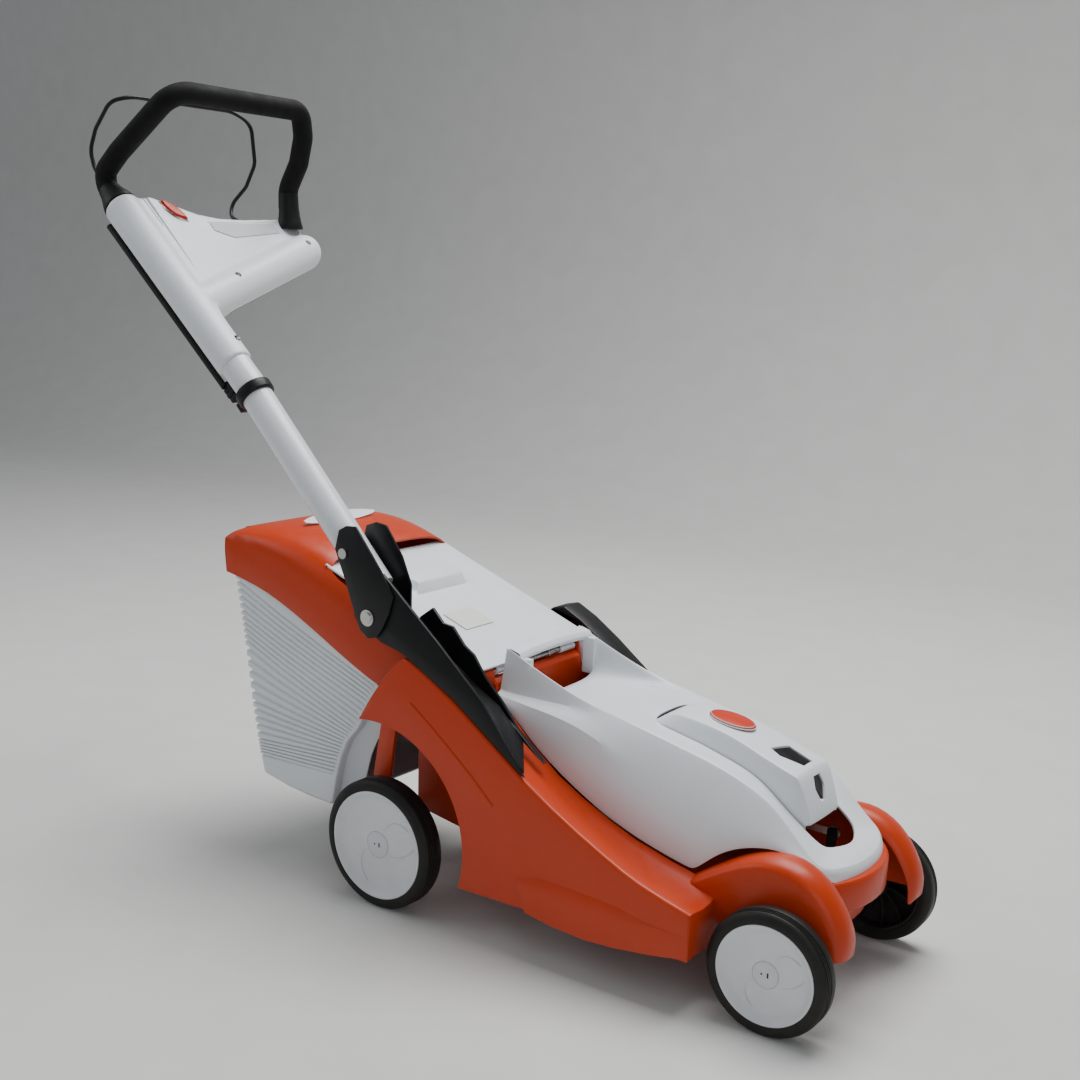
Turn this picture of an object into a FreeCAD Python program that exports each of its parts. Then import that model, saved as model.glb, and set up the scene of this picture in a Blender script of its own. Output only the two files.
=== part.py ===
import FreeCAD, Part
import math
import os

# Cordless walk-behind lawn mower with a single-tube handlebar and a rear grass box.
# X points forward, Y to the left side, Z up; the floor is Z = 0.

Vector = FreeCAD.Vector
Rotation = FreeCAD.Rotation
Placement = FreeCAD.Placement

doc = FreeCAD.newDocument("lawn_mower")

# ---------------------------------------------------------------- driving sizes
SIZES = {
    "frame_shift": 15.05,
    "front_axle_x": 542, "front_wheel_r": 77.4, "front_rim_r": 62.3,
    "front_face_y": 178.5, "front_wheel_w": 34,
    "rear_axle_x": -28, "rear_wheel_r": 91.4, "rear_rim_r": 76.7,
    "rear_face_y": 203.4, "rear_wheel_w": 37,
    "axle_r": 7, "axle_gap": 0.05, "crank_lead": 45, "crank_rise": 11.6, "crank_rod_r": 6,
    "lever_up": 66,
    "skirt_half_w": 195, "wall": 3, "nose_half_w": 136, "chamber_r": 178,
    "chamber_top_z": 140, "blade_x": 270, "blade_len": 344, "blade_z": 81,
    "shaft_r": 8, "duct_half_w": 97, "hood_gap_half_w": 119.5,
    "flap_half_w": 129, "flap_hinge_x": 84, "flap_hinge_z": 336,
    "cover_half_w": 48, "cover_hinge_x": 309, "cover_hinge_z": 304,
    "catcher_half_w": 140, "box_half_w": 134,
    "pivot_x": -46, "pivot_z": 406, "pivot_r": 5, "tube_y": -168, "tube_r": 22,
    "tube_wall": 2, "bend_x": -290, "bend_z": 688, "head_slope": 42.45, "tube_slope": 46.3,
    "sleeve_r": 26, "foam_r": 15, "grip_tube_r": 8, "bail_r": 3, "cable_r": 4,
    "flap_pin_r": 3, "cover_pin_r": 2, "level_pin_r": 1, "level_pin_x": -270.5,
    "level_pin_z": 481, "lever_pin_r": 4, "lever_pin_x": 40, "lever_pin_z": 250,
    "link_pin_r": 3, "link_slot_r": 4.5, "link_y": 101, "lock_r": 4, "lock_x": -88,
    "lock_z": 486, "run_gap": 0.05, "press_gap": 0.02, "arm_thick": 5,
}
sheet = doc.addObject("Spreadsheet::Sheet", "sizes")
for row, (alias, value) in enumerate(SIZES.items(), start=1):
    sheet.set(f"A{row}", alias)
    sheet.set(f"B{row}", str(value))
    sheet.setAlias(f"B{row}", alias)
doc.recompute()


def size(alias):
    """The value that a cell of the sheet holds."""
    return float(sheet.get(alias))


# ---------------------------------------------------------------- drawing helpers
AXIS_SIGN = {"XY_Plane": 1, "YZ_Plane": 1, "XZ_Plane": -1}


def new_body(label):
    """An empty body that becomes the node of the same name."""
    body = doc.addObject("PartDesign::Body", label)
    body.Label = label
    return body


def sketch_at(body, role, level):
    """A sketch on an origin plane of the body, moved to a level along its axis."""
    plane = next(item for item in body.Origin.OriginFeatures if item.Role == role)
    sketch = body.newObject("Sketcher::SketchObject", body.Label + "_sketch")
    sketch.AttachmentSupport = [(plane, "")]
    sketch.MapMode = "FlatFace"
    sketch.AttachmentOffset = Placement(Vector(0, 0, AXIS_SIGN[role] * level), Rotation())
    return sketch


def ring(x, y, radius):
    """A round outline."""
    return ("ring", x, y, radius)


def box(x0, y0, x1, y1):
    """A rectangular outline between two corners."""
    return [(x0, y0), (x1, y0), (x1, y1), (x0, y1)]


def draw(sketch, outlines):
    """Puts round outlines and closed chains of lines and arcs in a sketch."""
    for outline in outlines:
        if outline[0] == "ring":
            _, x, y, radius = outline
            sketch.addGeometry(Part.Circle(Vector(x, y, 0), Vector(0, 0, 1), radius))
            continue
        start = outline[-1][-2:]
        for point in outline:
            end = point[-2:]
            if len(point) == 4:
                middle = Vector(point[0], point[1], 0)
                arc = Part.Arc(Vector(*start, 0), middle, Vector(*end, 0))
                sketch.addGeometry(arc)
            elif start != end:
                sketch.addGeometry(Part.LineSegment(Vector(*start, 0), Vector(*end, 0)))
            start = end


def set_length(feature, length):
    """Binds a feature's length to a cell, or sets it as a number."""
    if isinstance(length, str):
        feature.setExpression("Length", length)
    else:
        feature.Length = length


def pad(body, role, low, length, *outlines):
    """Adds material from a low level upwards along the plane's axis."""
    reach = length if not isinstance(length, str) else 0
    level = low + reach if role == "XZ_Plane" else low
    sketch = sketch_at(body, role, level)
    draw(sketch, outlines)
    feature = body.newObject("PartDesign::Pad", body.Label + "_pad")
    feature.Profile = sketch
    set_length(feature, length)
    return feature


def wide_pad(body, role, length, *outlines):
    """Adds material evenly to both sides of the origin plane."""
    sketch = sketch_at(body, role, 0)
    draw(sketch, outlines)
    feature = body.newObject("PartDesign::Pad", body.Label + "_pad")
    feature.Profile = sketch
    feature.SideType = "Symmetric"
    set_length(feature, length)
    return feature


def pocket(body, role, low, length, *outlines):
    """Takes material away from a low level upwards along the plane's axis."""
    level = low if role == "XZ_Plane" else low + length
    sketch = sketch_at(body, role, level)
    draw(sketch, outlines)
    feature = body.newObject("PartDesign::Pocket", body.Label + "_pocket")
    feature.Profile = sketch
    feature.Length = length
    return feature


def wide_pocket(body, role, length, *outlines):
    """Takes material away evenly from both sides of the origin plane."""
    sketch = sketch_at(body, role, 0)
    draw(sketch, outlines)
    feature = body.newObject("PartDesign::Pocket", body.Label + "_pocket")
    feature.Profile = sketch
    feature.SideType = "Symmetric"
    set_length(feature, length)
    return feature


def turned(label, outline, place):
    """A body turned about its own Y axis, from points of (along Y, radius)."""
    body = new_body(label)
    sketch = sketch_at(body, "YZ_Plane", 0)
    draw(sketch, [outline])
    turn = body.newObject("PartDesign::Revolution", label + "_turn")
    turn.Profile = sketch
    turn.ReferenceAxis = (sketch, ["H_Axis"])
    turn.Angle = 360
    body.Placement = place
    return body


def upright(label, outline, x):
    """A body turned about a vertical axis at x, from points of (radius, z)."""
    body = new_body(label)
    sketch = sketch_at(body, "XZ_Plane", 0)
    draw(sketch, [outline])
    turn = body.newObject("PartDesign::Revolution", label + "_turn")
    turn.Profile = sketch
    turn.ReferenceAxis = (sketch, ["V_Axis"])
    turn.Angle = 360
    body.Placement = Placement(Vector(x, 0, 0), Rotation())
    return body


def group(label, shapes, place=Placement()):
    """One node that holds several separate solids of the same kind."""
    node = doc.addObject("Part::Feature", label)
    node.Label = label
    node.Shape = Part.makeCompound(shapes)
    node.Placement = place
    return node


def rod(start, end, radius):
    """A round bar between two points."""
    span = Vector(*end) - Vector(*start)
    return Part.makeCylinder(radius, span.Length, Vector(*start), span)


def bent_path(points, bend):
    """Straight runs joined by tangent arcs of at most the given radius."""
    corners = [Vector(*point) for point in points]
    edges = []
    last = corners[0]
    for before, corner, after in zip(corners, corners[1:], corners[2:]):
        back = before - corner
        ahead = after - corner
        half_turn = (math.pi - back.getAngle(ahead)) / 2
        room = 0.45 * min(back.Length, ahead.Length)
        radius = min(bend, room / math.tan(half_turn))
        reach = radius * math.tan(half_turn)
        back.normalize()
        ahead.normalize()
        inward = back + ahead
        inward.normalize()
        middle = corner + inward * (radius / math.cos(half_turn) - radius)
        first = corner + back * reach
        second = corner + ahead * reach
        edges.append(Part.LineSegment(last, first).toShape())
        edges.append(Part.Arc(first, middle, second).toShape())
        last = second
    edges.append(Part.LineSegment(last, corners[-1]).toShape())
    return Part.Wire(edges)


def pipe(points, radius, bend):
    """A round bar that follows a bent path."""
    path = bent_path(points, bend)
    start = Vector(*points[0])
    heading = Vector(*points[1]) - start
    section = Part.Wire([Part.makeCircle(radius, start, heading)])
    return path.makePipeShell([section], True, False)


# ---------------------------------------------------------------- deck
SKIRT = size("skirt_half_w")
WALL = size("wall")
RUN_GAP = size("run_gap")
PRESS_GAP = size("press_gap")
THROUGH = 400
NOSE = size("nose_half_w")
GAP = size("hood_gap_half_w")
DUCT = size("duct_half_w")
BLADE_X = size("blade_x")
FLOOR = size("chamber_top_z")
FRONT_X = size("front_axle_x")
REAR_X = size("rear_axle_x")
FRONT_PIVOT = (FRONT_X - size("crank_lead"), size("front_wheel_r") + size("crank_rise"))
REAR_PIVOT = (REAR_X - size("crank_lead"), size("rear_wheel_r") + size("crank_rise"))
CRANK_BORE = size("crank_rod_r") + size("axle_gap")
FLAP_PIN = (size("flap_hinge_x"), size("flap_hinge_z"))
COVER_PIN = (size("cover_hinge_x"), size("cover_hinge_z"))
LEVEL_PIN = (size("level_pin_x"), size("level_pin_z"))
LEVER_PIN = (size("lever_pin_x"), size("lever_pin_z"))
NOSE_W = 2 * 86
BUMPER_W = 2 * 89
CHAMBER_LOW = 72


def deck_housing():
    """Moulded deck: side skirts, cutting chamber, discharge duct and front arches."""
    body = new_body("deck_housing")
    outer = [(109, 67), (452, 73), (452, 131), (384, 151), (212, 239), (95, 320), (12, 363),
             (-38, 308), (-65, 262), (76, 214, 109, 67)]
    inner = [(112, 55), (449, 55), (449, 128), (383, 148), (210, 236), (93, 317), (12, 359),
             (-36, 306), (-61, 263), (80, 216, 112, 67)]
    wide_pad(body, "XZ_Plane", "sizes.skirt_half_w * 2", outer)
    wide_pocket(body, "XZ_Plane", "(sizes.skirt_half_w - sizes.wall) * 2", inner)
    pocket(body, "XY_Plane", 60, 340, box(-70, -GAP, 445, GAP))
    pad(body, "XY_Plane", CHAMBER_LOW, FLOOR + WALL - CHAMBER_LOW,
        ring(BLADE_X, 0, size("chamber_r") + WALL))
    pad(body, "XY_Plane", FLOOR, WALL, box(100, -GAP - 1, 449, GAP + 1))
    shaft_hole_r = size("shaft_r") + 4
    pocket(body, "XY_Plane", FLOOR - 2, WALL + 4, ring(BLADE_X, 0, shaft_hole_r))
    duct = [(130, 92), (-38, 117), (-38, 384), (60, 352), (96, 322), (130, 143)]
    hollow = [(300, 66), (86, 66), (86, 101.5), (-60, 123), (-60, 420), (57, 420), (93, 322),
              (127, 139), (300, 139)]
    wide_pad(body, "XZ_Plane", "(sizes.duct_half_w + sizes.wall) * 2", duct)
    wide_pocket(body, "XZ_Plane", "sizes.duct_half_w * 2", hollow)
    pocket(body, "XY_Plane", 66, FLOOR - 66, ring(BLADE_X, 0, size("chamber_r")))
    nose = [(446, 92), (613, 97), (620, 120), (570, 191), (532, 202), (482, 192), (446, 170)]
    nose_in = [(400, 60), (610, 60), (610, 99), (616, 120), (568, 188), (532, 199),
               (483, 189), (400, 162)]
    wide_pad(body, "XZ_Plane", "sizes.nose_half_w * 2", nose)
    wide_pocket(body, "XZ_Plane", "(sizes.nose_half_w - sizes.wall) * 2", nose_in)
    wide_pocket(body, "XZ_Plane", NOSE_W, box(452, 166, 640, 240))
    wide_pocket(body, "XZ_Plane", NOSE_W, box(601, 60, 640, 240))
    under_hood = [(440, 150), (463, 173), (512, 185), (558, 177), (600, 168), (640, 240),
                  (440, 240)]
    wide_pocket(body, "XZ_Plane", 2 * 118, under_hood)
    wide_pad(body, "XZ_Plane", BUMPER_W, [(598, 126), (601, 126), (601, 166), (452, 166),
                                     (452, 163), (598, 163)])
    wide_pad(body, "XZ_Plane", BUMPER_W, [(556, 92), (559, 92), (601, 126), (601, 129)])
    bracket = [(-86, 90), (-60, 90), (-40, 240), (70, 333), (12, 360), (-36, 307), (-63, 263),
               (-86, 130)]
    lug_r = 6
    pin_x, pin_z = FLAP_PIN
    lug = [(pin_x - lug_r, pin_z), (pin_x - lug_r, 312), (pin_x + lug_r, 312),
           (pin_x + lug_r, pin_z), (pin_x, pin_z + lug_r, pin_x - lug_r, pin_z)]
    for bracket_low, lug_low in ((143, 99), (-149, -121)):
        pad(body, "XZ_Plane", bracket_low, 6, bracket)
        pad(body, "XZ_Plane", lug_low, 22, lug)
    wide_pocket(body, "XZ_Plane", THROUGH, ring(*FRONT_PIVOT, CRANK_BORE),
                ring(*REAR_PIVOT, CRANK_BORE))
    wide_pocket(body, "XZ_Plane", 2 * 123, ring(*FLAP_PIN, size("flap_pin_r") + PRESS_GAP))
    return body


deck_housing()


# ---------------------------------------------------------------- hood
def hood():
    """Light cover over the motor: lofted shell with rear wings, grab bar and front loop."""
    body = new_body("hood")
    stations = [
        (102, 106, 302, 103, 310, 86, 366), (140, 114, 280, 106, 306, 86, 352),
        (200, 116, 236, 106, 304, 84, 331), (260, 118, 203, 106, 289, 85, 315),
        (322, 118, 176, 107, 248, 85, 300), (410, 116, 154, 106, 225, 85, 283),
        (463, 115, 178, 100, 225, 84, 264), (512, 112, 190, 98, 215, 84, 232),
        (558, 96, 182, 92, 184, 80, 187), (588, 52, 172, 50, 176, 46, 182)]

    def loft(kind, inset, drop):
        sections = []
        for x, low_y, low_z, mid_y, mid_z, top_y, top_z in stations:
            half = [(low_y - inset, low_z - drop), (mid_y - inset, mid_z - inset / 2),
                    (top_y - inset, top_z - inset)]
            mirrored = [(-y, z) for y, z in reversed(half)]
            sketch = sketch_at(body, "YZ_Plane", x)
            draw(sketch, [half + mirrored])
            sections.append(sketch)
        feature = body.newObject("PartDesign::" + kind, "hood_" + kind)
        feature.Profile = sections[0]
        feature.Sections = sections[1:]
        feature.Ruled = True
        return feature

    open_below = 30
    bar_half_w = 84
    seat_half_w = 104
    loft("AdditiveLoft", 0, 0)
    doc.recompute()
    loft("SubtractiveLoft", WALL, open_below)
    wing_cut = [(90, 312), (280, 312), (236, 330), (102, 400), (90, 400)]
    wide_pocket(body, "XZ_Plane", 162, wing_cut)
    wide_pad(body, "XZ_Plane", 2 * bar_half_w, [(102, 362), (112, 366), (116, 356), (108, 350)])
    wide_pad(body, "XZ_Plane", 2 * seat_half_w, [(130, 300), (300, 306), (300, 309), (130, 303)])
    bay_w = 2 * (size("cover_half_w") + 2)
    wide_pocket(body, "XZ_Plane", bay_w, [(300, 200), (527, 200), (527, 400), (300, 400)])
    wide_pocket(body, "XZ_Plane", bay_w + 4, box(530, 120, 566, 300))
    wide_pocket(body, "XZ_Plane", bay_w + 8, ring(*COVER_PIN, size("cover_pin_r") + RUN_GAP))
    return body


hood()


# ---------------------------------------------------------------- inside the hood
def block(label, low, high):
    """A plain box body between two corners."""
    body = new_body(label)
    pad(body, "XY_Plane", low[2], high[2] - low[2], box(low[0], low[1], high[0], high[1]))
    return body


tray = block("battery_tray", (318, -46, 212), (496, 46, 262))
tray_in = box(318 + WALL, -46 + WALL, 496 - WALL, 46 - WALL)
pocket(tray, "XY_Plane", 212 + WALL, 60, tray_in)
block("battery_pack", (326, -40, 215.3), (462, 40, 256))
key = block("safety_key", (470, -10, 215.3), (488, 10, 232))
pad(key, "XY_Plane", 232, 16, box(477, -9, 481, 9))
controller = block("controller_box", (137, -50, 143.3), (190, 50, 196))
pad(controller, "XY_Plane", 196, 10, *[box(142, y, 184, y + 3) for y in range(-40, 44, 12)])

CASE_TOP = 198
upright("motor_case", [(16, 143.3), (76, 143.3), (76, 149), (66, 149), (66, 190), (58, CASE_TOP),
                       (16, CASE_TOP), (16, 188), (55, 188), (61, 184), (61, 151), (16, 151)],
        BLADE_X)
shaft_bore = size("shaft_r") + size("axle_gap")
bearing_h = 7
bearing_r = 15.95
group("shaft_bearings", [
    rod((BLADE_X, 0, low), (BLADE_X, 0, low + bearing_h), bearing_r).cut(
        rod((BLADE_X, 0, low), (BLADE_X, 0, low + bearing_h), shaft_bore))
    for low in (143.4, 188.5)])
BOLT_RING = [math.radians(45 + 90 * turn) for turn in range(4)]
ring_r = 72
screw_top = 153.5
group("motor_screws", [
    rod((BLADE_X + ring_r * math.cos(turn), ring_r * math.sin(turn), 149.1),
        (BLADE_X + ring_r * math.cos(turn), ring_r * math.sin(turn), screw_top), 4.5)
    for turn in BOLT_RING])
group("hood_screws", [
    rod((x, side * 70, z), (x, side * 70, z + 3), 4)
    for x, z in ((140, 303.6), (236, 307.1)) for side in (-1, 1)])

# ---------------------------------------------------------------- blade drive
shaft_r = size("shaft_r")
upright("motor_shaft", [(0, 84.3), (shaft_r, 84.3), (shaft_r, 196), (0, 196)], BLADE_X)
upright("motor_rotor", [(shaft_r, 153), (50, 153), (50, 184), (shaft_r, 184)], BLADE_X)
upright("blade_fan", [(shaft_r, 84.3), (34, 84.3), (70, 100), (70, 103), (30, 96), (24, 130),
                      (shaft_r, 130)], BLADE_X)
upright("blade_bolt", [(0, 72), (9, 72), (11, 76), (11, 80.8), (0, 80.8)], BLADE_X)


def blade():
    """Flat cutting bar with raised wings at the trailing edges."""
    body = new_body("blade")
    half = size("blade_len") / 2
    low_z = size("blade_z")
    half_w = 24
    wing_len = 70
    pad(body, "XY_Plane", low_z, 3, box(BLADE_X - half_w, -half, BLADE_X + half_w, half))
    for side in (-1, 1):
        low = half - wing_len if side > 0 else -half
        wing = [(BLADE_X - side * half_w, low_z), (BLADE_X - side * 12, low_z),
                (BLADE_X - side * 12, low_z + 3), (BLADE_X - side * 22, low_z + 15),
                (BLADE_X - side * 25, low_z + 14)]
        pad(body, "XZ_Plane", low, wing_len, wing)
    return body


blade()


# ---------------------------------------------------------------- wheels and cranks
def wheel(prefix, x, radius, rim_r, face_y, width):
    """Tyre, moulded rim and snap-in hub cap; the outer face is at along-axis 0."""
    bore = size("axle_r") + size("axle_gap")
    side = -1 if face_y < 0 else 1
    place = Placement(Vector(x, face_y, radius), Rotation(Vector(0, 0, 1), 0 if side < 0 else 180))
    tyre = [(1, rim_r), (0.6, radius - 7), (4, radius - 2), (9, radius), (width - 9, radius),
            (width - 4, radius - 2), (width - 0.6, radius - 7), (width - 1, rim_r)]
    turned(prefix + "_tyre", tyre, place)
    outer = rim_r - 0.05
    rim = [(1.2, outer), (1.2, rim_r - 3.5), (6, rim_r - 12), (7, 21), (7, bore),
           (width - 1, bore), (width - 1, 13), (11, 16), (10, rim_r - 12), (6, rim_r - 5),
           (width - 1.5, rim_r - 5), (width - 1.5, outer)]
    turned(prefix + "_rim", rim, place)
    cap = [(4.2, 0), (4.6, 16), (6.9, 20), (6.9, 0)]
    turned(prefix + "_hub_cap", cap, place)


for end, x in (("front", FRONT_X), ("rear", REAR_X)):
    for side_name, side in (("right", -1), ("left", 1)):
        wheel(f"{end}_{side_name}", x, size(end + "_wheel_r"), size(end + "_rim_r"),
              side * size(end + "_face_y"), size(end + "_wheel_w"))


def crank_axle(label, x, z, pivot, arm_y, stub_end):
    """Bent steel axle: cross rod in the deck, two arms and two stub axles."""
    thick = size("arm_thick")
    lead = size("crank_lead")
    eye_r = 11
    arm_h = 14
    lever_w = 12
    lever_y = size("link_y") - 6
    pin_end = lever_y + 15
    reach = arm_y + thick
    solid = rod((pivot[0], -reach, pivot[1]), (pivot[0], reach, pivot[1]), size("crank_rod_r"))
    for side in (-1, 1):
        arm = Part.makeBox(lead, thick, arm_h, Vector(0, -thick / 2, -arm_h / 2))
        arm = arm.fuse([Part.makeCylinder(eye_r, thick, Vector(along, -thick / 2, 0),
                                          Vector(0, 1, 0)) for along in (0, lead)])
        slope = math.degrees(math.atan2(pivot[1] - z, x - pivot[0]))
        arm.Placement = Placement(Vector(pivot[0], side * (arm_y + thick / 2), pivot[1]),
                                  Rotation(Vector(0, 1, 0), slope))
        stub = rod((x, side * arm_y, z), (x, side * stub_end, z), size("axle_r"))
        solid = solid.fuse([arm, stub])
    up = size("lever_up")
    lever = Part.makeBox(lever_w, thick, up + lever_w / 2,
                         Vector(pivot[0] - lever_w / 2, lever_y, pivot[1]))
    pin = rod((pivot[0], lever_y, pivot[1] + up), (pivot[0], pin_end, pivot[1] + up),
              size("link_pin_r"))
    solid = solid.fuse([lever, pin]).removeSplitter()
    return group(label, solid.Solids)


crank_axle("front_axle", FRONT_X, size("front_wheel_r"), FRONT_PIVOT, 137, 171)
crank_axle("rear_axle", REAR_X, size("rear_wheel_r"), REAR_PIVOT, 151, 195)


def tie_rod():
    """Flat link between the two crank levers; its rear eye is a slot with play."""
    up = size("lever_up")
    thick = 4
    bar_h = 10
    eye_r = 9
    front = Vector(FRONT_PIVOT[0], size("link_y"), FRONT_PIVOT[1] + up)
    rear = Vector(REAR_PIVOT[0], size("link_y"), REAR_PIVOT[1] + up)
    span = front - rear
    bar = Part.makeBox(span.Length, thick, bar_h, Vector(0, 0, -bar_h / 2))
    bar = bar.fuse([Part.makeCylinder(eye_r, thick, Vector(along, 0, 0), Vector(0, 1, 0))
                    for along in (0, span.Length)])
    holes = [Part.makeCylinder(radius, thick + 2, Vector(along, -1, 0), Vector(0, 1, 0))
             for along, radius in ((0, size("link_slot_r")),
                                   (span.Length, size("link_pin_r") + RUN_GAP))]
    bar = bar.cut(holes)
    slope = math.degrees(math.atan2(-span.z, span.x))
    return group("tie_rod", bar.Solids, Placement(rear, Rotation(Vector(0, 1, 0), slope)))


tie_rod()


def height_lever():
    """Hand lever for the cutting height, on the outside of the left skirt."""
    body = new_body("height_lever")
    arm = [(30, 246), (34, 240), (44, 240), (50, 250), (26, 322), (14, 318)]
    pad(body, "XZ_Plane", SKIRT + 1, 5, arm)
    pocket(body, "XZ_Plane", SKIRT, 8, ring(*LEVER_PIN, size("lever_pin_r") + RUN_GAP))
    knob = [(13, 316), (27, 320), (22, 345), (10, 352), (2, 345)]
    pad(body, "XZ_Plane", SKIRT + 0.8, 7.4, knob)
    return body


height_lever()
pivot = new_body("height_pivot")
shank = 6.4
pad(pivot, "XZ_Plane", SKIRT, shank, ring(*LEVER_PIN, size("lever_pin_r")))
pad(pivot, "XZ_Plane", SKIRT + shank, 1.6, ring(*LEVER_PIN, size("lever_pin_r") + 3))


# ---------------------------------------------------------------- consoles
PIVOT = (size("pivot_x"), size("pivot_z"))


def console_right():
    """Black bracket on the right shoulder that carries the handlebar pivot."""
    body = new_body("console_right")
    near = [(-74, 404), (-66, 424), (-24, 470), (20, 432), (68, 393), (140, 330), (210, 245),
            (96, 323), (14, 366), (-20, 376), (-60, 388)]
    tongue = [(-70, 406), (PIVOT[0], PIVOT[1] + 24, -22, 406), (-10, 384), (60, 350),
              (150, 300), (206, 250), (206, 246), (96, 323), (14, 366), (-30, 372), (-62, 388)]
    spacer = [(96, 323), (206, 246), (160, 285), (60, 352), (30, 358)]
    far = [(-12, 376), (-6, 404), (16, 420), (34, 402), (50, 400), (70, 378), (86, 368),
           (105, 342), (132, 316), (160, 283), (206, 246), (96, 323), (14, 366)]
    pad(body, "XZ_Plane", -195, 4.5, near)
    pad(body, "XZ_Plane", -190.5, 44.5, tongue)
    pad(body, "XZ_Plane", -146, 6, spacer)
    pad(body, "XZ_Plane", -140, 4, far)
    pocket(body, "XZ_Plane", -200, 80, ring(*PIVOT, size("pivot_r") + PRESS_GAP))
    return body


console_right()
cover = new_body("console_left")
pad(cover, "XZ_Plane", 150, 42, [(-6, 352), (-4, 358), (28, 374), (60, 358), (101, 331),
                                 (212, 241), (96, 322), (13, 365)])

bolt = new_body("pivot_bolt")
washer_r = 11
bolt_head_r = 8
pad(bolt, "XZ_Plane", -202.6, 64, ring(*PIVOT, size("pivot_r")))
pad(bolt, "XZ_Plane", -200.6, 1.4, ring(*PIVOT, washer_r))
pad(bolt, "XZ_Plane", -203.2, 2.6, ring(*PIVOT, bolt_head_r))
pad(bolt, "XZ_Plane", -141.3, 3.5, ring(*PIVOT, bolt_head_r))

pin = new_body("flap_hinge_pin")
wide_pad(pin, "XZ_Plane", 234, ring(*FLAP_PIN, size("flap_pin_r")))


def spring(low):
    """A plain ring round the flap's pin that stands for a coil spring."""
    start = (FLAP_PIN[0], low, FLAP_PIN[1])
    end = (FLAP_PIN[0], low + 26, FLAP_PIN[1])
    return rod(start, end, 5).cut(rod(start, end, size("flap_pin_r") + 0.2))


group("flap_springs", [spring(-54), spring(28)])


# ---------------------------------------------------------------- discharge flap
def discharge_flap():
    """Hinged rear flap with a raised rear half and a finger edge."""
    body = new_body("discharge_flap")
    skin = [(90, 346), (-82, 409.3), (-86, 424.5), (-188, 448), (-189, 444), (-90, 420.5),
            (-86.5, 406), (89, 341.5)]
    wide_pad(body, "XZ_Plane", "sizes.flap_half_w * 2", skin)
    knuckle_w = 34
    knuckle = [(90, 336), (90, 344), (72, 350), (78, 336), (84, 330, 90, 336)]
    for low in (-92, 58):
        pad(body, "XZ_Plane", low, knuckle_w, knuckle)
    wide_pocket(body, "XZ_Plane", 2 * 115, ring(*FLAP_PIN, size("flap_pin_r") + RUN_GAP))
    return body


discharge_flap()


# ---------------------------------------------------------------- battery cover
def battery_cover():
    """Hinged lid over the battery bay with a sight window and a light hole."""
    body = new_body("battery_cover")
    skin = [(305, 302), (311, 312), (330, 316), (394, 310), (450, 290), (504, 275), (525, 219),
            (521, 218), (501, 271), (449, 286), (393, 306), (331, 312), (316, 309), (312, 297),
            (306, 296)]
    wide_pad(body, "XZ_Plane", "sizes.cover_half_w * 2", skin)
    wide_pad(body, "XZ_Plane", "sizes.cover_half_w * 2", ring(*COVER_PIN, 4))
    wide_pad(body, "XZ_Plane", "sizes.cover_half_w * 2 + 10",
             ring(*COVER_PIN, size("cover_pin_r")))
    window = [(455, -12), (468, -17), (496, -8), (496, 14), (462, 17)]
    pocket(body, "XY_Plane", 278, 30, window)
    return body


battery_cover()


# ---------------------------------------------------------------- grass catcher
def catcher_lid():
    """Upper shell of the grass box with a recess for the flap."""
    body = new_body("catcher_lid")
    top = [(-376, 412), (-378, 466), (-368, 476), (-322, 485), (-250, 482), (-198, 472),
           (-119, 440), (-60, 407), (-82, 296), (-141, 321), (-218, 360), (-297, 394)]
    inside = [(-390, 380), (-374, 405), (-375, 463), (-366, 473), (-322, 482), (-250, 479),
              (-199, 469), (-120, 437), (-30, 390), (-60, 270)]
    recessed = [(-390, 380), (-374, 405), (-375, 463), (-366, 473), (-322, 482), (-250, 479),
                (-197, 469), (-197, 431), (-30, 370), (-60, 270)]
    wide_pad(body, "XZ_Plane", "sizes.catcher_half_w * 2", top)
    recess_w = 2 * (size("flap_half_w") + 2)
    level_half_w = 76
    wide_pocket(body, "XZ_Plane", recess_w - 6, recessed)
    for low in (WALL - size("catcher_half_w"), size("box_half_w")):
        pocket(body, "XZ_Plane", low, WALL, inside)
    wide_pocket(body, "XZ_Plane", recess_w,
                [(-192, 500), (-192, 435), (-30, 376), (-30, 500)])
    pocket(body, "XY_Plane", 470, 30, box(-290, -level_half_w, -268, level_half_w))
    wide_pocket(body, "XZ_Plane", 2 * (level_half_w + 2),
                ring(*LEVEL_PIN, size("level_pin_r") + RUN_GAP))
    return body


catcher_lid()


def catcher_box():
    """Lower louvred shell of the grass box, open at the top and to the front."""
    body = new_body("catcher_box")
    outer = [(-364, 404), (-317, 117), (-300, 104), (-182, 92), (-175, 94), (-171, 136),
             (-155, 185), (-126, 221), (-89, 287), (-100, 303), (-141, 320.6), (-218, 359.6),
             (-297, 393.6)]
    inner = [(-361, 404), (-314, 118), (-299, 107), (-178, 95), (-168, 136), (-152, 184),
             (-80, 287), (-60, 320), (-140, 440), (-300, 480), (-364, 480)]
    wide_pad(body, "XZ_Plane", "sizes.box_half_w * 2", outer)
    wide_pocket(body, "XZ_Plane", "(sizes.box_half_w - 2.5) * 2", inner)
    mouth_w = 200
    wide_pocket(body, "XZ_Plane", mouth_w, box(-200, 130, -60, 400))
    return body


catcher_box()
indicator = new_body("fill_indicator")
level_w = 150
wide_pad(indicator, "XZ_Plane", level_w, [(-289, 480), (LEVEL_PIN[0], 479.5),
                                          (LEVEL_PIN[0], 482.5), (-289, 483)])
wide_pad(indicator, "XZ_Plane", level_w, ring(*LEVEL_PIN, 1.5))
wide_pad(indicator, "XZ_Plane", level_w + 5, ring(*LEVEL_PIN, size("level_pin_r")))

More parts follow.
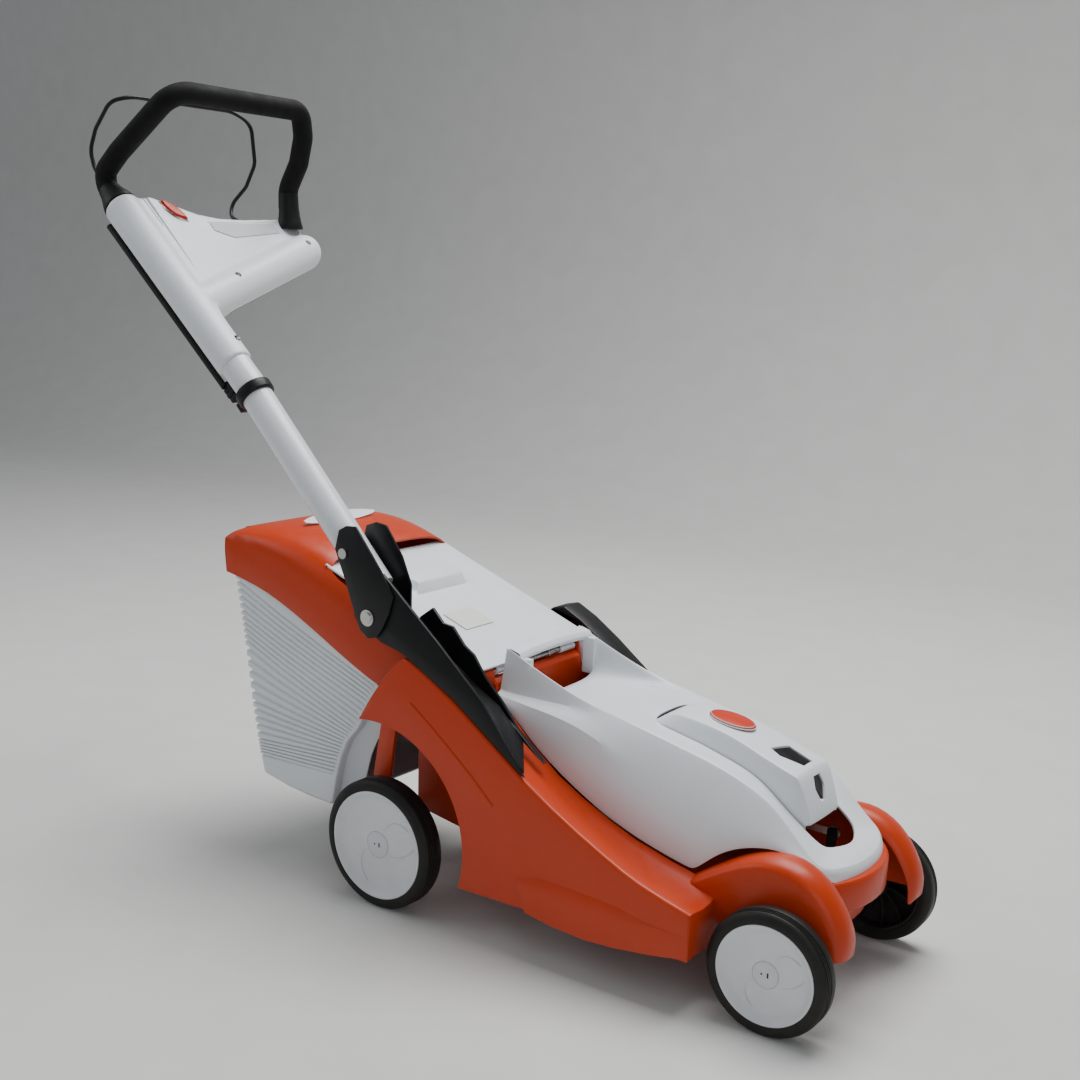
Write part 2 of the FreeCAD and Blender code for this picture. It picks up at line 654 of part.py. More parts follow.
# ---------------------------------------------------------------- handlebar
TUBE_Y = size("tube_y")
TUBE_R = size("tube_r")
tube_tilt = math.radians(size("tube_slope"))
head_tilt = math.radians(size("head_slope"))
BEND = Vector(size("bend_x"), TUBE_Y, size("bend_z"))
DOWN = Vector(math.cos(tube_tilt), 0, -math.sin(tube_tilt))
UP = Vector(-math.cos(head_tilt), 0, math.sin(head_tilt))
HEAD = Placement(BEND, Rotation(Vector(0, 1, 0), size("head_slope") - 180))
tube_foot = BEND + DOWN * 342
tube_top = BEND + UP * 346

tube_points = [tuple(tube_foot), tuple(BEND), tuple(tube_top)]
tube = pipe(tube_points, TUBE_R, 400).cut(pipe(tube_points, TUBE_R - size("tube_wall"), 400))
LOCK = (size("lock_x"), size("lock_z"))
lock_hole = rod((LOCK[0], -210, LOCK[1]), (LOCK[0], -120, LOCK[1]), size("lock_r"))
group("handle_tube", tube.cut(lock_hole).Solids)


def foot_plate(label, low, thickness, outline):
    """Side plate that clamps the foot of the tube and turns on the pivot bolt."""
    body = new_body(label)
    pad(body, "XZ_Plane", low, thickness, outline)
    pocket(body, "XZ_Plane", low - 1, thickness + 2, ring(*PIVOT, size("pivot_r") + RUN_GAP),
           ring(*LOCK, size("lock_r")))
    return body


foot_plate("handle_foot_outer", -199, 3.5,
           [(-97, 516), (-67, 524), (-24, 472), (-2, 440), (-20, 396), (-34, 378, -60, 388),
            (-70, 410), (-86, 450), (-104, 490)])
foot_plate("handle_foot_inner", -145.5, 4,
           [(-97, 516), (-62, 520), (-34, 482), (-18, 446), (-18, 410), (-36, 380, -64, 388),
            (-72, 410), (-88, 450), (-104, 490)])
lock = new_body("foot_screw")
screw_head_r = 7
pad(lock, "XZ_Plane", -200.6, 60.4, ring(*LOCK, size("lock_r") - 0.1))
pad(lock, "XZ_Plane", -202.4, 3, ring(*LOCK, screw_head_r))
pad(lock, "XZ_Plane", -141.2, 2.6, ring(*LOCK, screw_head_r))


def collar():
    """Black clamp ring with a lug on the tube below the head."""
    outer = rod((-21, 0, 0), (-5, 0, 0), TUBE_R + 4).fuse(
        Part.makeBox(14, 18, 10, Vector(-20, -9, TUBE_R)))
    return outer.cut(rod((-30, 0, 0), (5, 0, 0), TUBE_R + 0.1))


group("clamp_ring", collar().Solids,
      Placement(BEND, Rotation(Vector(0, 1, 0), size("tube_slope") - 180)))

SLEEVE_R = size("sleeve_r")
ARM_START = (150, 6, 0)
ARM_END = (262, 298, -7)
ARM_R = 28
WEB = [(70, 10), (345, 10), (352, 40), (322, 110), (314, 190), (325, 306), (262, 306), (150, 20)]


def slab(outline, low, high):
    """A flat plate in the head's own frame."""
    wire = Part.makePolygon([Vector(x, y, low) for x, y in outline + outline[:1]])
    return Part.Face(wire).extrude(Vector(0, 0, high - low))


def head_parts():
    """Upper housing with the sleeve, and the black cover under the arm."""
    sleeve = rod((38, 0, 0), (350, 0, 0), SLEEVE_R)
    arm = rod(ARM_START, ARM_END, ARM_R).fuse(Part.makeSphere(ARM_R, Vector(*ARM_END)))
    arm_bore = rod(ARM_START, ARM_END, ARM_R - 3)
    above = Part.makeBox(500, 500, 80, Vector(-50, -60, -80 + 8))
    below = Part.makeBox(500, 500, 80, Vector(-50, SLEEVE_R + 2, 8.4))
    cavity = slab([(200, 50), (300, 44), (290, 120), (288, 200), (300, 270), (250, 200)], -19, 20)
    slots = [Part.makeBox(70, 12, 90, Vector(292, 24, -45)),
             Part.makeBox(60, 14, 90, Vector(282, 236, -45))]
    tube_hole = rod((-10, 0, 0), (360, 0, 0), TUBE_R + 0.1)
    foot = rod((325, 288, -25), (300, 288, -25), 9)
    upper = arm.fuse(slab(WEB, -22, 8)).common(above).cut(arm_bore)
    upper = upper.fuse(sleeve).cut([tube_hole, cavity, foot] + slots)
    cover = arm.common(below).cut(arm_bore).fuse(
        slab([(160, 40), (300, 40), (300, 290), (268, 290)], 8.4, 11.4)).cut(arm_bore)
    well = slab([(344, 50), (340, 69), (323, 81), (301, 83), (306, 62), (323, 51)], -40, -17)
    return upper.cut(well).removeSplitter(), cover.cut(slots).removeSplitter()


upper_head, lower_head = head_parts()
group("head_housing", upper_head.Solids, HEAD)
group("head_cover", lower_head.Solids, HEAD)
group("head_screws", [rod((along, across, top), (along, across, top + 3), 4) for along, across, top
                      in ((186, 92, -33.2), (256, 285, -38), (66, 8, -28.8))], HEAD)
group("switch_unit", [Part.makeBox(34, 110, 23, Vector(250, 70, -17))], HEAD)
group("start_button", [slab([(341, 52), (338, 66), (322, 78), (304, 80), (309, 64), (324, 54)],
                            -27, -22.4)], HEAD)
CABLE_Z = 31
CABLE_R = size("cable_r")
group("cable", [rod((32, 0, CABLE_Z), (340, 0, CABLE_Z), CABLE_R)], HEAD)
clip = Part.makeBox(16, 14, 8, Vector(292, -7, 28)).cut(
    rod((280, 0, CABLE_Z), (320, 0, CABLE_Z), CABLE_R + RUN_GAP))
group("cable_clip", clip.cut(rod((280, 0, 0), (320, 0, 0), SLEEVE_R + 1)).Solids, HEAD)
group("cable_plug", [Part.makeBox(28, 16, 14, Vector(3.8, -8, 24))], HEAD)

GRIP = [(-536, -168, 913), (-578, -168, 951.6), (-580, -168, 972), (-552, -165, 998),
        (-450, -150, 1077), (-457, 104, 1077), (-458, 110, 1040), (-474, 116, 1003),
        (-502, 120, 965), (-502, 120, 936), (-496, 120, 915)]
GRIP_R = size("grip_tube_r")
core = pipe(GRIP, GRIP_R, 34)
group("grip_tube", core.Solids)
cover = pipe(GRIP, size("foam_r"), 34).cut(pipe(GRIP, GRIP_R + 0.1, 34))
FOAM_LOW = {"near": 979, "far": 958}
near_half = Part.makeBox(300, 200, 200, Vector(-600, -200, FOAM_LOW["near"]))
far_half = Part.makeBox(300, 200, 200, Vector(-600, 0, FOAM_LOW["far"]))
group("grip_foam", cover.common(near_half.fuse(far_half)).removeSplitter().Solids)


def boots():
    """Flared rubber ends that close the grip on the sleeve and on the web."""
    sleeve_end = BEND + UP * 350.5
    flare = 22
    near_box = Part.makeBox(120, 100, 100, Vector(-640, -200, FOAM_LOW["near"] - 100.5))
    behind_flare = Part.makeCylinder(60, 200, sleeve_end + UP * (flare - 200), UP)
    near_tube = cover.common(near_box).cut(behind_flare)
    bore = Part.makeCylinder(GRIP_R + 0.1, 40, sleeve_end - UP * 10, UP)
    near_flare = Part.makeCone(24, 15, flare, sleeve_end, UP).cut(bore)
    far_flare = Part.makeCone(19, 15, 20, Vector(-500.5, 120, 936), Vector(-1, 0, 18)).cut(
        pipe(GRIP, GRIP_R + 0.1, 34))
    return near_tube.Solids + near_flare.Solids + far_flare.Solids


group("grip_boots", boots())

BAIL = [(-519, -138, 897), (-590, -139, 928), (-640, -140, 980), (-648, -140, 1005),
        (-636, -138, 1035), (-606, -134, 1072), (-582, -116, 1079), (-582, 82, 1079),
        (-563, 102, 1062), (-560, 106, 1003), (-575, 100, 968), (-597, 90, 942),
        (-590, 80, 922), (-519, 75, 897)]
bail = pipe(BAIL, size("bail_r"), 30)
hubs = [rod((-519, -141.5, 897), (-519, -134.5, 897), 6), rod((-519, 71, 897), (-519, 79, 897), 6)]
group("bail_lever", bail.fuse(hubs).removeSplitter().Solids)

# ---------------------------------------------------------------- check and export
doc.recompute()
nodes = []
for item in doc.Objects:
    bad = [state for state in item.State if state in ("Invalid", "Error")]
    if bad:
        raise RuntimeError(f"{item.Label}: {bad}")
    if item.TypeId == "PartDesign::Body" or (item.TypeId == "Part::Feature"
                                             and item.getParentGeoFeatureGroup() is None):
        nodes.append(item)
shift = Placement(Vector(size("frame_shift"), 0, 0), Rotation())
for node in nodes:
    node.Placement = shift * node.Placement
doc.recompute()
os.makedirs("parts", exist_ok=True)
for node in nodes:
    if node.Shape.isNull() or not node.Shape.isValid():
        raise RuntimeError(f"{node.Label}: bad shape")
    node.Shape.exportStep(f"parts/{node.Label}.step")
print(len(nodes), "nodes")
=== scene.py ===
import bmesh
import bpy
import math
from mathutils import Matrix, Vector


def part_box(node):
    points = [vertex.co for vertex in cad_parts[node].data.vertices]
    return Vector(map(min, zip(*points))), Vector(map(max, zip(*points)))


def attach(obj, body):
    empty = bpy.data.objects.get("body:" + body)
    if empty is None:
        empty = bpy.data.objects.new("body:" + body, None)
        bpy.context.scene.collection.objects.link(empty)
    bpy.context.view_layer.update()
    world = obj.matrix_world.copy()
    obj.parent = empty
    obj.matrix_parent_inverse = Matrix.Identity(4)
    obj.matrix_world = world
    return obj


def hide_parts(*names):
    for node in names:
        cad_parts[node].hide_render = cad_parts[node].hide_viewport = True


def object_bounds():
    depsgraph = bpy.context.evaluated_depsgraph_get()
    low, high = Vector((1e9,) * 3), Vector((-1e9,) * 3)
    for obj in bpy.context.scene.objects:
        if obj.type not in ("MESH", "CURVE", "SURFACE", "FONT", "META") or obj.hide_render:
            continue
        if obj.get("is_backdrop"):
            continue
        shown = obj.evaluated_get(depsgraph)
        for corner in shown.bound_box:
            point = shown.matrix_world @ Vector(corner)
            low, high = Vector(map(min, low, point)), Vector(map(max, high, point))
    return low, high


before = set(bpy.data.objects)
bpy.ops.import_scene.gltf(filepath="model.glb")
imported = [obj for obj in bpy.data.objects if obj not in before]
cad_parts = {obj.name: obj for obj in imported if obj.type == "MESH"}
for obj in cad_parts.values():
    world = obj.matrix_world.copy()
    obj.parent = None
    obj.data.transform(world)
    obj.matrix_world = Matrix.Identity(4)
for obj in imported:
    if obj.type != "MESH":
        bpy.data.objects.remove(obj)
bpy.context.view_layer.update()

# ---------------------------------------------------------------- deck skirts
# The deck is one orange moulding of glass-filled plastic. Its side skirts are flat panels whose
# ridge rolls over into a hollow top that runs up to the hood. Drawing millimetres are used here:
# X forward from the deck's own datum, Y to the left, Z up from the ground.
shaft_low, shaft_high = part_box("motor_shaft")
BLADE_X = 270
DATUM_X = (shaft_low.x + shaft_high.x) / 2 * 1000 - BLADE_X
TO_FRAME = Matrix.Scale(0.001, 4) @ Matrix.Translation((DATUM_X, 0, 0))
SKIRT_Y = 195
ARCH_LIP = 16


def noise_on(nodes, links, scale, detail=4.0):
    """Noise that sits on the piece, from its Object coordinates, in features per metre."""
    place = nodes.new("ShaderNodeTexCoord")
    noise = nodes.new("ShaderNodeTexNoise")
    noise.inputs["Scale"].default_value = scale
    noise.inputs["Detail"].default_value = detail
    links.new(place.outputs["Object"], noise.inputs["Vector"])
    return noise


def spread(nodes, links, source, low, high):
    """Maps a 0-1 value to a range."""
    span = nodes.new("ShaderNodeMapRange")
    span.inputs["From Min"].default_value = 0.3
    span.inputs["From Max"].default_value = 0.7
    span.inputs["To Min"].default_value = low
    span.inputs["To Max"].default_value = high
    links.new(source, span.inputs["Value"])
    return span.outputs["Result"]


def moulded(name, colour, rough, grain=0.06, dust=0.0, coat=0.0, metal=0.0, grain_scale=900,
            gloss=0.5):
    """A finish with fine surface grain, faint mottling and dust that gathers near the ground."""
    finish = bpy.data.materials.new(name)
    finish.use_nodes = True
    nodes = finish.node_tree.nodes
    links = finish.node_tree.links
    shader = nodes["Principled BSDF"]
    shader.inputs["Metallic"].default_value = metal
    shader.inputs["Coat Weight"].default_value = coat
    shader.inputs["Coat Roughness"].default_value = 0.25
    shader.inputs["Specular IOR Level"].default_value = gloss
    mottle = noise_on(nodes, links, 9)
    shades = nodes.new("ShaderNodeMix")
    shades.data_type = "RGBA"
    shades.inputs["A"].default_value = (*[c * 0.93 for c in colour], 1)
    shades.inputs["B"].default_value = (*[min(1, c * 1.05) for c in colour], 1)
    links.new(mottle.outputs["Fac"], shades.inputs["Factor"])
    surface = shades.outputs["Result"]
    if dust:
        place = nodes.new("ShaderNodeTexCoord")
        split = nodes.new("ShaderNodeSeparateXYZ")
        links.new(place.outputs["Object"], split.inputs["Vector"])
        height = nodes.new("ShaderNodeMapRange")
        height.inputs["From Min"].default_value = 0.30
        height.inputs["From Max"].default_value = 0.02
        height.inputs["To Max"].default_value = dust
        links.new(split.outputs["Z"], height.inputs["Value"])
        patches = noise_on(nodes, links, 45, 8)
        amount = nodes.new("ShaderNodeMath")
        amount.operation = "MULTIPLY"
        links.new(height.outputs["Result"], amount.inputs[0])
        links.new(patches.outputs["Fac"], amount.inputs[1])
        film = nodes.new("ShaderNodeMix")
        film.data_type = "RGBA"
        film.inputs["B"].default_value = (0.36, 0.31, 0.25, 1)
        links.new(amount.outputs["Value"], film.inputs["Factor"])
        links.new(surface, film.inputs["A"])
        surface = film.outputs["Result"]
    links.new(surface, shader.inputs["Base Color"])
    wear = noise_on(nodes, links, 60, 6)
    links.new(spread(nodes, links, wear.outputs["Fac"], rough - 0.06, rough + 0.07),
              shader.inputs["Roughness"])
    fine = noise_on(nodes, links, grain_scale, 3)
    bump = nodes.new("ShaderNodeBump")
    bump.inputs["Strength"].default_value = grain
    bump.inputs["Distance"].default_value = 0.0006
    links.new(fine.outputs["Fac"], bump.inputs["Height"])
    links.new(bump.outputs["Normal"], shader.inputs["Normal"])
    return finish


ORANGE = moulded("orange_moulding", (0.50, 0.033, 0.0), 0.36, dust=0.06, gloss=0.35)


def next_row(bm, edges):
    """Extrudes a row of edges once, and gives back its new points and new edges."""
    grown = bmesh.ops.extrude_edge_only(bm, edges=edges)["geom"]
    fresh = {item for item in grown if isinstance(item, bmesh.types.BMVert)}
    return fresh, [item for item in grown if isinstance(item, bmesh.types.BMEdge)
                   and item.verts[0] in fresh and item.verts[1] in fresh]


def prism(bm, corners, shift):
    """A flat face thickened by a shift; gives back the points that moved."""
    face = bm.faces.new([bm.verts.new(point) for point in corners])
    grown = bmesh.ops.extrude_face_region(bm, geom=[face])["geom"]
    moved = [item for item in grown if isinstance(item, bmesh.types.BMVert)]
    bmesh.ops.translate(bm, verts=moved, vec=shift)
    return moved


def block(bm, size, middle):
    """A box of the given size about a middle point."""
    corners = bmesh.ops.create_cube(bm, size=1)["verts"]
    bmesh.ops.scale(bm, vec=size, verts=corners)
    bmesh.ops.translate(bm, vec=middle, verts=corners)


def skin(bm, sections, closed=False):
    """A sheet from section to section; gives back the edges of its first and last ones."""
    mark = bm.verts.layers.int.get("place")
    if mark is None:
        mark = bm.verts.layers.int.new("place")
    row = [bm.verts.new(point) for point in sections[0]]
    for number, vert in enumerate(row):
        vert[mark] = number
    ends = row[1:] + row[:1] if closed else row[1:]
    edges = [bm.edges.new(pair) for pair in zip(row, ends)]
    first = list(edges)
    for section in sections[1:]:
        fresh, edges = next_row(bm, edges)
        for vert in fresh:
            vert.co = section[vert[mark]]
    return first, edges


def mirrored(bm):
    """Adds the left half of a piece drawn on the right, and joins the two on the middle."""
    bmesh.ops.mirror(bm, geom=bm.verts[:] + bm.edges[:] + bm.faces[:], axis="Y",
                     merge_dist=0.01)
    bmesh.ops.remove_doubles(bm, verts=bm.verts, dist=0.01)
    bmesh.ops.recalc_face_normals(bm, faces=bm.faces)


def placed(name, bm):
    """Makes an object of a drawn mesh."""
    mesh = bpy.data.meshes.new(name)
    bm.to_mesh(mesh)
    bm.free()
    obj = bpy.data.objects.new(name, mesh)
    bpy.context.scene.collection.objects.link(obj)
    return obj


def made(name, bm, body, finish, replaces=(), smooth=0, wall=0, bevel=0, cut=(),
         angle=38, steps=2):
    """Turns a drawn mesh into a finished piece that rides on a body of the frame."""
    bmesh.ops.transform(bm, matrix=TO_FRAME, verts=bm.verts)
    obj = placed(name, bm)
    if smooth:
        rounding = obj.modifiers.new("rounding", "SUBSURF")
        rounding.levels = smooth
        rounding.render_levels = smooth
    if wall:
        shell = obj.modifiers.new("wall", "SOLIDIFY")
        shell.thickness = wall / 1000
        shell.offset = -1
    for number, tool in enumerate(cut):
        hole = obj.modifiers.new(f"cut_{number}", "BOOLEAN")
        hole.operation = "DIFFERENCE"
        hole.solver = "EXACT"
        hole.use_self = True
        hole.object = tool
    if bevel:
        edge = obj.modifiers.new("edges", "BEVEL")
        edge.width = bevel / 1000
        edge.segments = steps
        edge.limit_method = "ANGLE"
        edge.angle_limit = math.radians(38)
    view = bpy.context.evaluated_depsgraph_get()
    obj.data = bpy.data.meshes.new_from_object(obj.evaluated_get(view))
    obj.modifiers.clear()
    for tool in cut:
        bpy.data.objects.remove(tool)
    obj.data.name = name
    obj.data.materials.clear()
    obj.data.materials.append(finish)
    obj.data.polygons.foreach_set("use_smooth", [True] * len(obj.data.polygons))
    obj.data.set_sharp_from_angle(angle=math.radians(angle))
    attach(obj, body)
    if replaces:
        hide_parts(*replaces)
    return obj


def bow(start, through, end, steps):
    """Points of a round arc from start to end that passes through a third point."""
    (ax, ay), (bx, by), (cx, cy) = start, through, end
    twice = 2 * (ax * (by - cy) + bx * (cy - ay) + cx * (ay - by))
    ux = ((ax * ax + ay * ay) * (by - cy) + (bx * bx + by * by) * (cy - ay)
          + (cx * cx + cy * cy) * (ay - by)) / twice
    uy = ((ax * ax + ay * ay) * (cx - bx) + (bx * bx + by * by) * (ax - cx)
          + (cx * cx + cy * cy) * (bx - ax)) / twice
    radius = math.hypot(ax - ux, ay - uy)
    first = math.atan2(ay - uy, ax - ux)
    sweep = math.atan2(cy - uy, cx - ux) - first
    middle = (math.atan2(by - uy, bx - ux) - first) % math.tau
    sweep %= math.tau
    if middle > sweep:
        sweep -= math.tau
    return [(ux + radius * math.cos(first + sweep * step / steps),
             uy + radius * math.sin(first + sweep * step / steps)) for step in range(steps + 1)]


def along(line, x):
    """Height of a line at x, straight between its given points."""
    for (ax, az), (bx, bz) in zip(line, line[1:]):
        if ax <= x <= bx:
            return az + (bz - az) * (x - ax) / (bx - ax)
    return line[0][1] if x < line[0][0] else line[-1][1]


RIDGE = [(-38, 308), (-26, 324), (-12, 342), (0, 355), (12, 362), (24, 359), (50, 346),
         (95, 320), (130, 296), (165, 272), (212, 239), (250, 216), (290, 194), (330, 174),
         (360, 160), (384, 151), (418, 141), (452, 132)]
INNER = [(-38, 308), (50, 346), (95, 314), (132, 295), (152, 272), (212, 227), (272, 194),
         (333, 170), (384, 156), (411, 150), (425, 147), (452, 140)]
bm = bmesh.new()
place = bm.verts.layers.int.new("place")
arch = bow((109, 67), (76, 214), (-65, 262), 22)
outline = RIDGE + [(452, 73), (280, 69.5)] + arch
panel = [bm.verts.new((x, -SKIRT_Y, z)) for x, z in outline]
for number, vert in enumerate(panel):
    vert[place] = number
bm.faces.new(panel)
ridge_edges = [bm.edges.get(pair) for pair in zip(panel[:len(RIDGE)], panel[1:len(RIDGE)])]
edges = ridge_edges
for y, share, dip in ((-180, 0.1, 2), (-163, 0.35, 6), (-145, 0.65, 7), (-131, 0.85, 4),
                      (-119, 1.0, 0)):
    fresh, edges = next_row(bm, edges)
    for vert in fresh:
        x, top = RIDGE[vert[place]]
        hollow = dip * min(1, max(0, (x - 60) / 90))
        vert.co = (x, y, top + (along(INNER, x) - top) * share - hollow)
arch_edges = [bm.edges.get(pair) for pair in zip(panel[len(RIDGE) + 2:], panel[len(RIDGE) + 3:])]
arch_lip, lip_edges = next_row(bm, arch_edges)
for vert in arch_lip:
    vert.co.y += ARCH_LIP
skin(bm, [[(452, y, top), (452, y, 73)] for y, top in (
    (-195, 132), (-180, 130.8), (-163, 128.8), (-145, 130.2), (-131, 134.8), (-126, 138))])
bmesh.ops.bevel(bm, geom=ridge_edges, offset=5, segments=4, profile=0.5, affect="EDGES",
                material=-1)
mirrored(bm)
made("deck_skirts", bm, "chassis", ORANGE, ["deck_housing"], wall=3, bevel=0.8)
BAND_TOP = [(203, 108), (212, 115), (234, 119), (271, 119), (303, 118), (358, 114), (399, 106)]
BAND_LOW = [(206, 103), (216, 105), (238, 106), (268, 105), (299, 104), (347, 103.5), (399, 105)]
LOW_EDGE = [(450, 103), (452, 75), (405, 68), (355, 61), (309, 58), (261, 61), (220, 67)]
FLUSH_END = (6, 7, 8)
BULGE = 4.2
base = [Vector((x, -SKIRT_Y + 0.4, z)) for x, z in BAND_TOP + LOW_EDGE]
bm = bmesh.new()
for vert in prism(bm, base, (0, 0, 0)):
    number = min(range(len(base)), key=lambda index: (base[index] - vert.co).length)
    if number < len(BAND_LOW):
        vert.co.x, vert.co.z = BAND_LOW[number]
    vert.co.y = -SKIRT_Y + 0.2 if number in FLUSH_END else -SKIRT_Y - BULGE
mirrored(bm)
made("skirt_bulges", bm, "chassis", ORANGE, bevel=1.6, steps=3)
CREASE_LINE = [(24, 303), (61, 277), (94, 252), (128, 225), (162, 194)]
bm = bmesh.new()
skin(bm, [[(x - 1.6 * wide, -SKIRT_Y - 0.9 * high, z - 1.4 * wide) for wide, high in
           ((-1, 0), (0, 1), (1.6, 0))] for x, z in CREASE_LINE])
mirrored(bm)
made("skirt_creases", bm, "chassis", ORANGE, wall=-0.5)

# ---------------------------------------------------------------- front wheel arches
# Part of the same orange moulding: a flat inner wall beside each front wheel, with a rounded
# crown that leans in under the hood and ends in a blunt lip ahead of the wheel.
ARCH_WALL = 136
CROWN = [(415, 148), (432, 160), (457, 176), (482, 190), (508, 199), (534, 201), (558, 195),
         (580, 182), (598, 162), (611, 140), (619, 119), (617, 97)]
WALL_EDGE = [(418, 140), (436, 150), (459, 164), (483, 177), (508, 185), (531, 187), (551, 182),
             (569, 170), (583, 152), (594, 132), (600, 114), (600, 97)]
bm = bmesh.new()
skin(bm, [[(x + (a - x) * share, y, z + (b - z) * share)
           for (x, z), (a, b) in zip(WALL_EDGE, CROWN)]
          for y, share in ((-ARCH_WALL, 0), (-134.5, 0.4), (-126, 0.85))]
     + [[(x + back, y, z + lift) for x, z in CROWN]
        for y, back, lift in ((-115, 0, 0), (-104, -0.5, 0.5), (-92, -2, -1.5), (-86, -8, -10))])
wall = [bm.verts.new((x, -ARCH_WALL, z)) for x, z in WALL_EDGE + [(446, 92), (446, 128)]]
bm.faces.new(wall)
bmesh.ops.remove_doubles(bm, verts=bm.verts, dist=0.01)
mirrored(bm)
made("front_arches", bm, "chassis", ORANGE, smooth=1, wall=3, bevel=0.8)

# ---------------------------------------------------------------- nose and inner deck
# Below the hood's tip the deck has an upright bumper band, with a set-back wall under it. Behind
# it lie the round cutting chamber, its top plate and the duct that throws the grass backwards.
bm = bmesh.new()
profile = [(-40, 168), (-3, 167), (0, 163), (0, 130), (-4, 126), (-16, 122), (-24, 97)]
stations = [-98 + 14 * number for number in range(15)]
skin(bm, [[(601 - 36 * (abs(y) / 98) ** 2.2 + out, y, z) for out, z in profile]
          for y in stations])
bmesh.ops.recalc_face_normals(bm, faces=bm.faces)
made("nose_bumper", bm, "chassis", ORANGE, wall=3, bevel=0.8)

CHAMBER_R = 178
CHAMBER_LOW = 72
DECK_TOP = 141.5
DUCT_HALF = 98.5
bm = bmesh.new()
top = bmesh.ops.create_circle(bm, cap_ends=True, radius=CHAMBER_R, segments=72)["verts"]
bmesh.ops.translate(bm, verts=top, vec=(BLADE_X, 0, DECK_TOP))
chamber_foot, foot_edges = next_row(bm, [edge for edge in bm.edges if edge.is_boundary])
for vert in chamber_foot:
    vert.co.z = CHAMBER_LOW
rear = [face for face in bm.faces if abs(face.normal.z) < 0.5
        and face.calc_center_median().x < BLADE_X - 120
        and abs(face.calc_center_median().y) < 97]
bmesh.ops.delete(bm, geom=rear, context="FACES")
DUCT_SIDE = [(118, 92), (-38, 117), (-38, 384), (57, 350), (94, 321), (124, 143)]
for y in (-DUCT_HALF, DUCT_HALF):
    bm.faces.new([bm.verts.new((x, y, z)) for x, z in DUCT_SIDE])
for line in ([(127, 142), (94, 322), (84, 330)], [(88, 101), (-38, 119)]):
    skin(bm, [[(x, y, z) for x, z in line] for y in (-DUCT_HALF, DUCT_HALF)])
skin(bm, [[(x, y, DECK_TOP) for x in (120, 446)] for y in (-120, 120)])
made("cutting_chamber", bm, "chassis", ORANGE, wall=3, bevel=0.5)


def plate(name, outline, y0, y1, body, finish, replaces=(), bevel=1.2, extra=()):
    """A moulded or pressed side plate: an outline given thickness, with eased edges."""
    bm = bmesh.new()
    for shape, low, high in [(outline, y0, y1)] + list(extra):
        prism(bm, [(x, low, z) for x, z in shape], (0, high - low, 0))
    bmesh.ops.recalc_face_normals(bm, faces=bm.faces)
    return made(name, bm, body, finish, replaces, bevel=bevel)


LUG = [(-86, 90), (-60, 90), (-40, 240), (70, 333), (12, 360), (-36, 307), (-63, 263), (-86, 130)]
plate("axle_brackets", LUG, -149, -143, "chassis", ORANGE,
      extra=[(LUG, 143, 149)])
HINGE_LUG = [(78, 336), (78, 312), (90, 312), (90, 336)] + bow((90, 336), (84, 342), (78, 336), 8)
plate("flap_hinge_lugs", HINGE_LUG, -121, -99, "chassis", ORANGE, bevel=0.6,
      extra=[(HINGE_LUG, 99, 121)])

# ---------------------------------------------------------------- hood
# A light grey moulded cover over the motor. Two wings rise at the back and carry a grab bar; the
# shoulders run forward and meet round a loop at the nose. A row is one section, from the bottom
# edge of the side up over the crests: X, then how far out and how high each point is.
GREY = moulded("light_grey_moulding", (0.74, 0.78, 0.81), 0.40, dust=0.08, coat=0.1)
SHOULDERS = [
    (99, (110, 304), (109.5, 307), (106, 311), (98, 314), (86, 369), (83, 369)),
    (112, (112, 300), (111.5, 304), (107, 309), (97, 313), (86, 365), (83, 365)),
    (133, (114, 290), (113.5, 298), (108, 307), (96, 312), (86, 355), (83, 355)),
    (165, (116, 261), (116, 282), (109, 304), (94, 312), (86, 342), (83, 342)),
    (203, (117, 234), (118, 268), (110, 300), (92, 312), (86, 327.5), (83, 327)),
    (240, (118, 213), (119, 253), (111.5, 292), (91, 310), (86, 317), (82, 317)),
    (272, (118, 196), (119.3, 239), (112.5, 280), (95, 303), (86, 311), (80, 311)),
    (300, (118, 184), (119.3, 225), (112.5, 265), (97, 292), (86, 305), (79, 305.5)),
    (333, (118, 172), (119, 210), (112, 246), (98, 281), (86, 298), (79, 299)),
    (375, (117, 160), (119, 198), (112, 234), (98, 270), (86, 289), (79, 290)),
    (404, (116.5, 153.5), (118, 190), (112, 225), (98, 262), (86, 282.5), (79, 283.5)),
    (413, (116, 152), (117.5, 189), (111, 223), (98, 260), (86, 280), (79, 281)),
    (437, (113, 177), (115, 198), (110, 223), (97, 253), (86, 273), (79, 274)),
    (463, (109, 192), (111, 205), (106, 222), (96, 246), (86, 263), (78, 263)),
    (490, (106, 199), (106, 209), (102, 220), (94, 237), (86, 250), (78, 248)),
    (512, (103, 201), (102, 206), (98, 213), (92, 222), (86, 231), (77, 229)),
    (533, (100, 196), (99, 198), (95, 201), (90, 204), (86, 208), (76, 207))]
NOSE = [
    [(553, 95, 185), (553, 94, 186.5), (553, 91, 187.5), (553, 88, 189), (553, 85, 191), (551, 73, 192)],
    [(569, 87, 171), (568, 86.5, 173.5), (567, 86, 176), (566, 85.5, 180),
     (564, 84, 183.5), (560, 66, 187)],
    [(582, 62, 163), (581, 62, 167), (580.5, 61.5, 171), (580, 61, 176), (577, 59, 181), (568, 46, 186)],
    [(590, 30, 157), (589.5, 30, 162), (589, 30, 168), (588, 30, 174), (585, 29, 179.5), (575, 22, 185)],
    [(591.5, 0, 156), (591, 0, 161), (590.5, 0, 167), (589.5, 0, 173.5), (586.5, 0, 179), (577, 0, 185)]]
HOOD = [[(x, y, z) for y, z in points] for x, *points in SHOULDERS] + NOSE
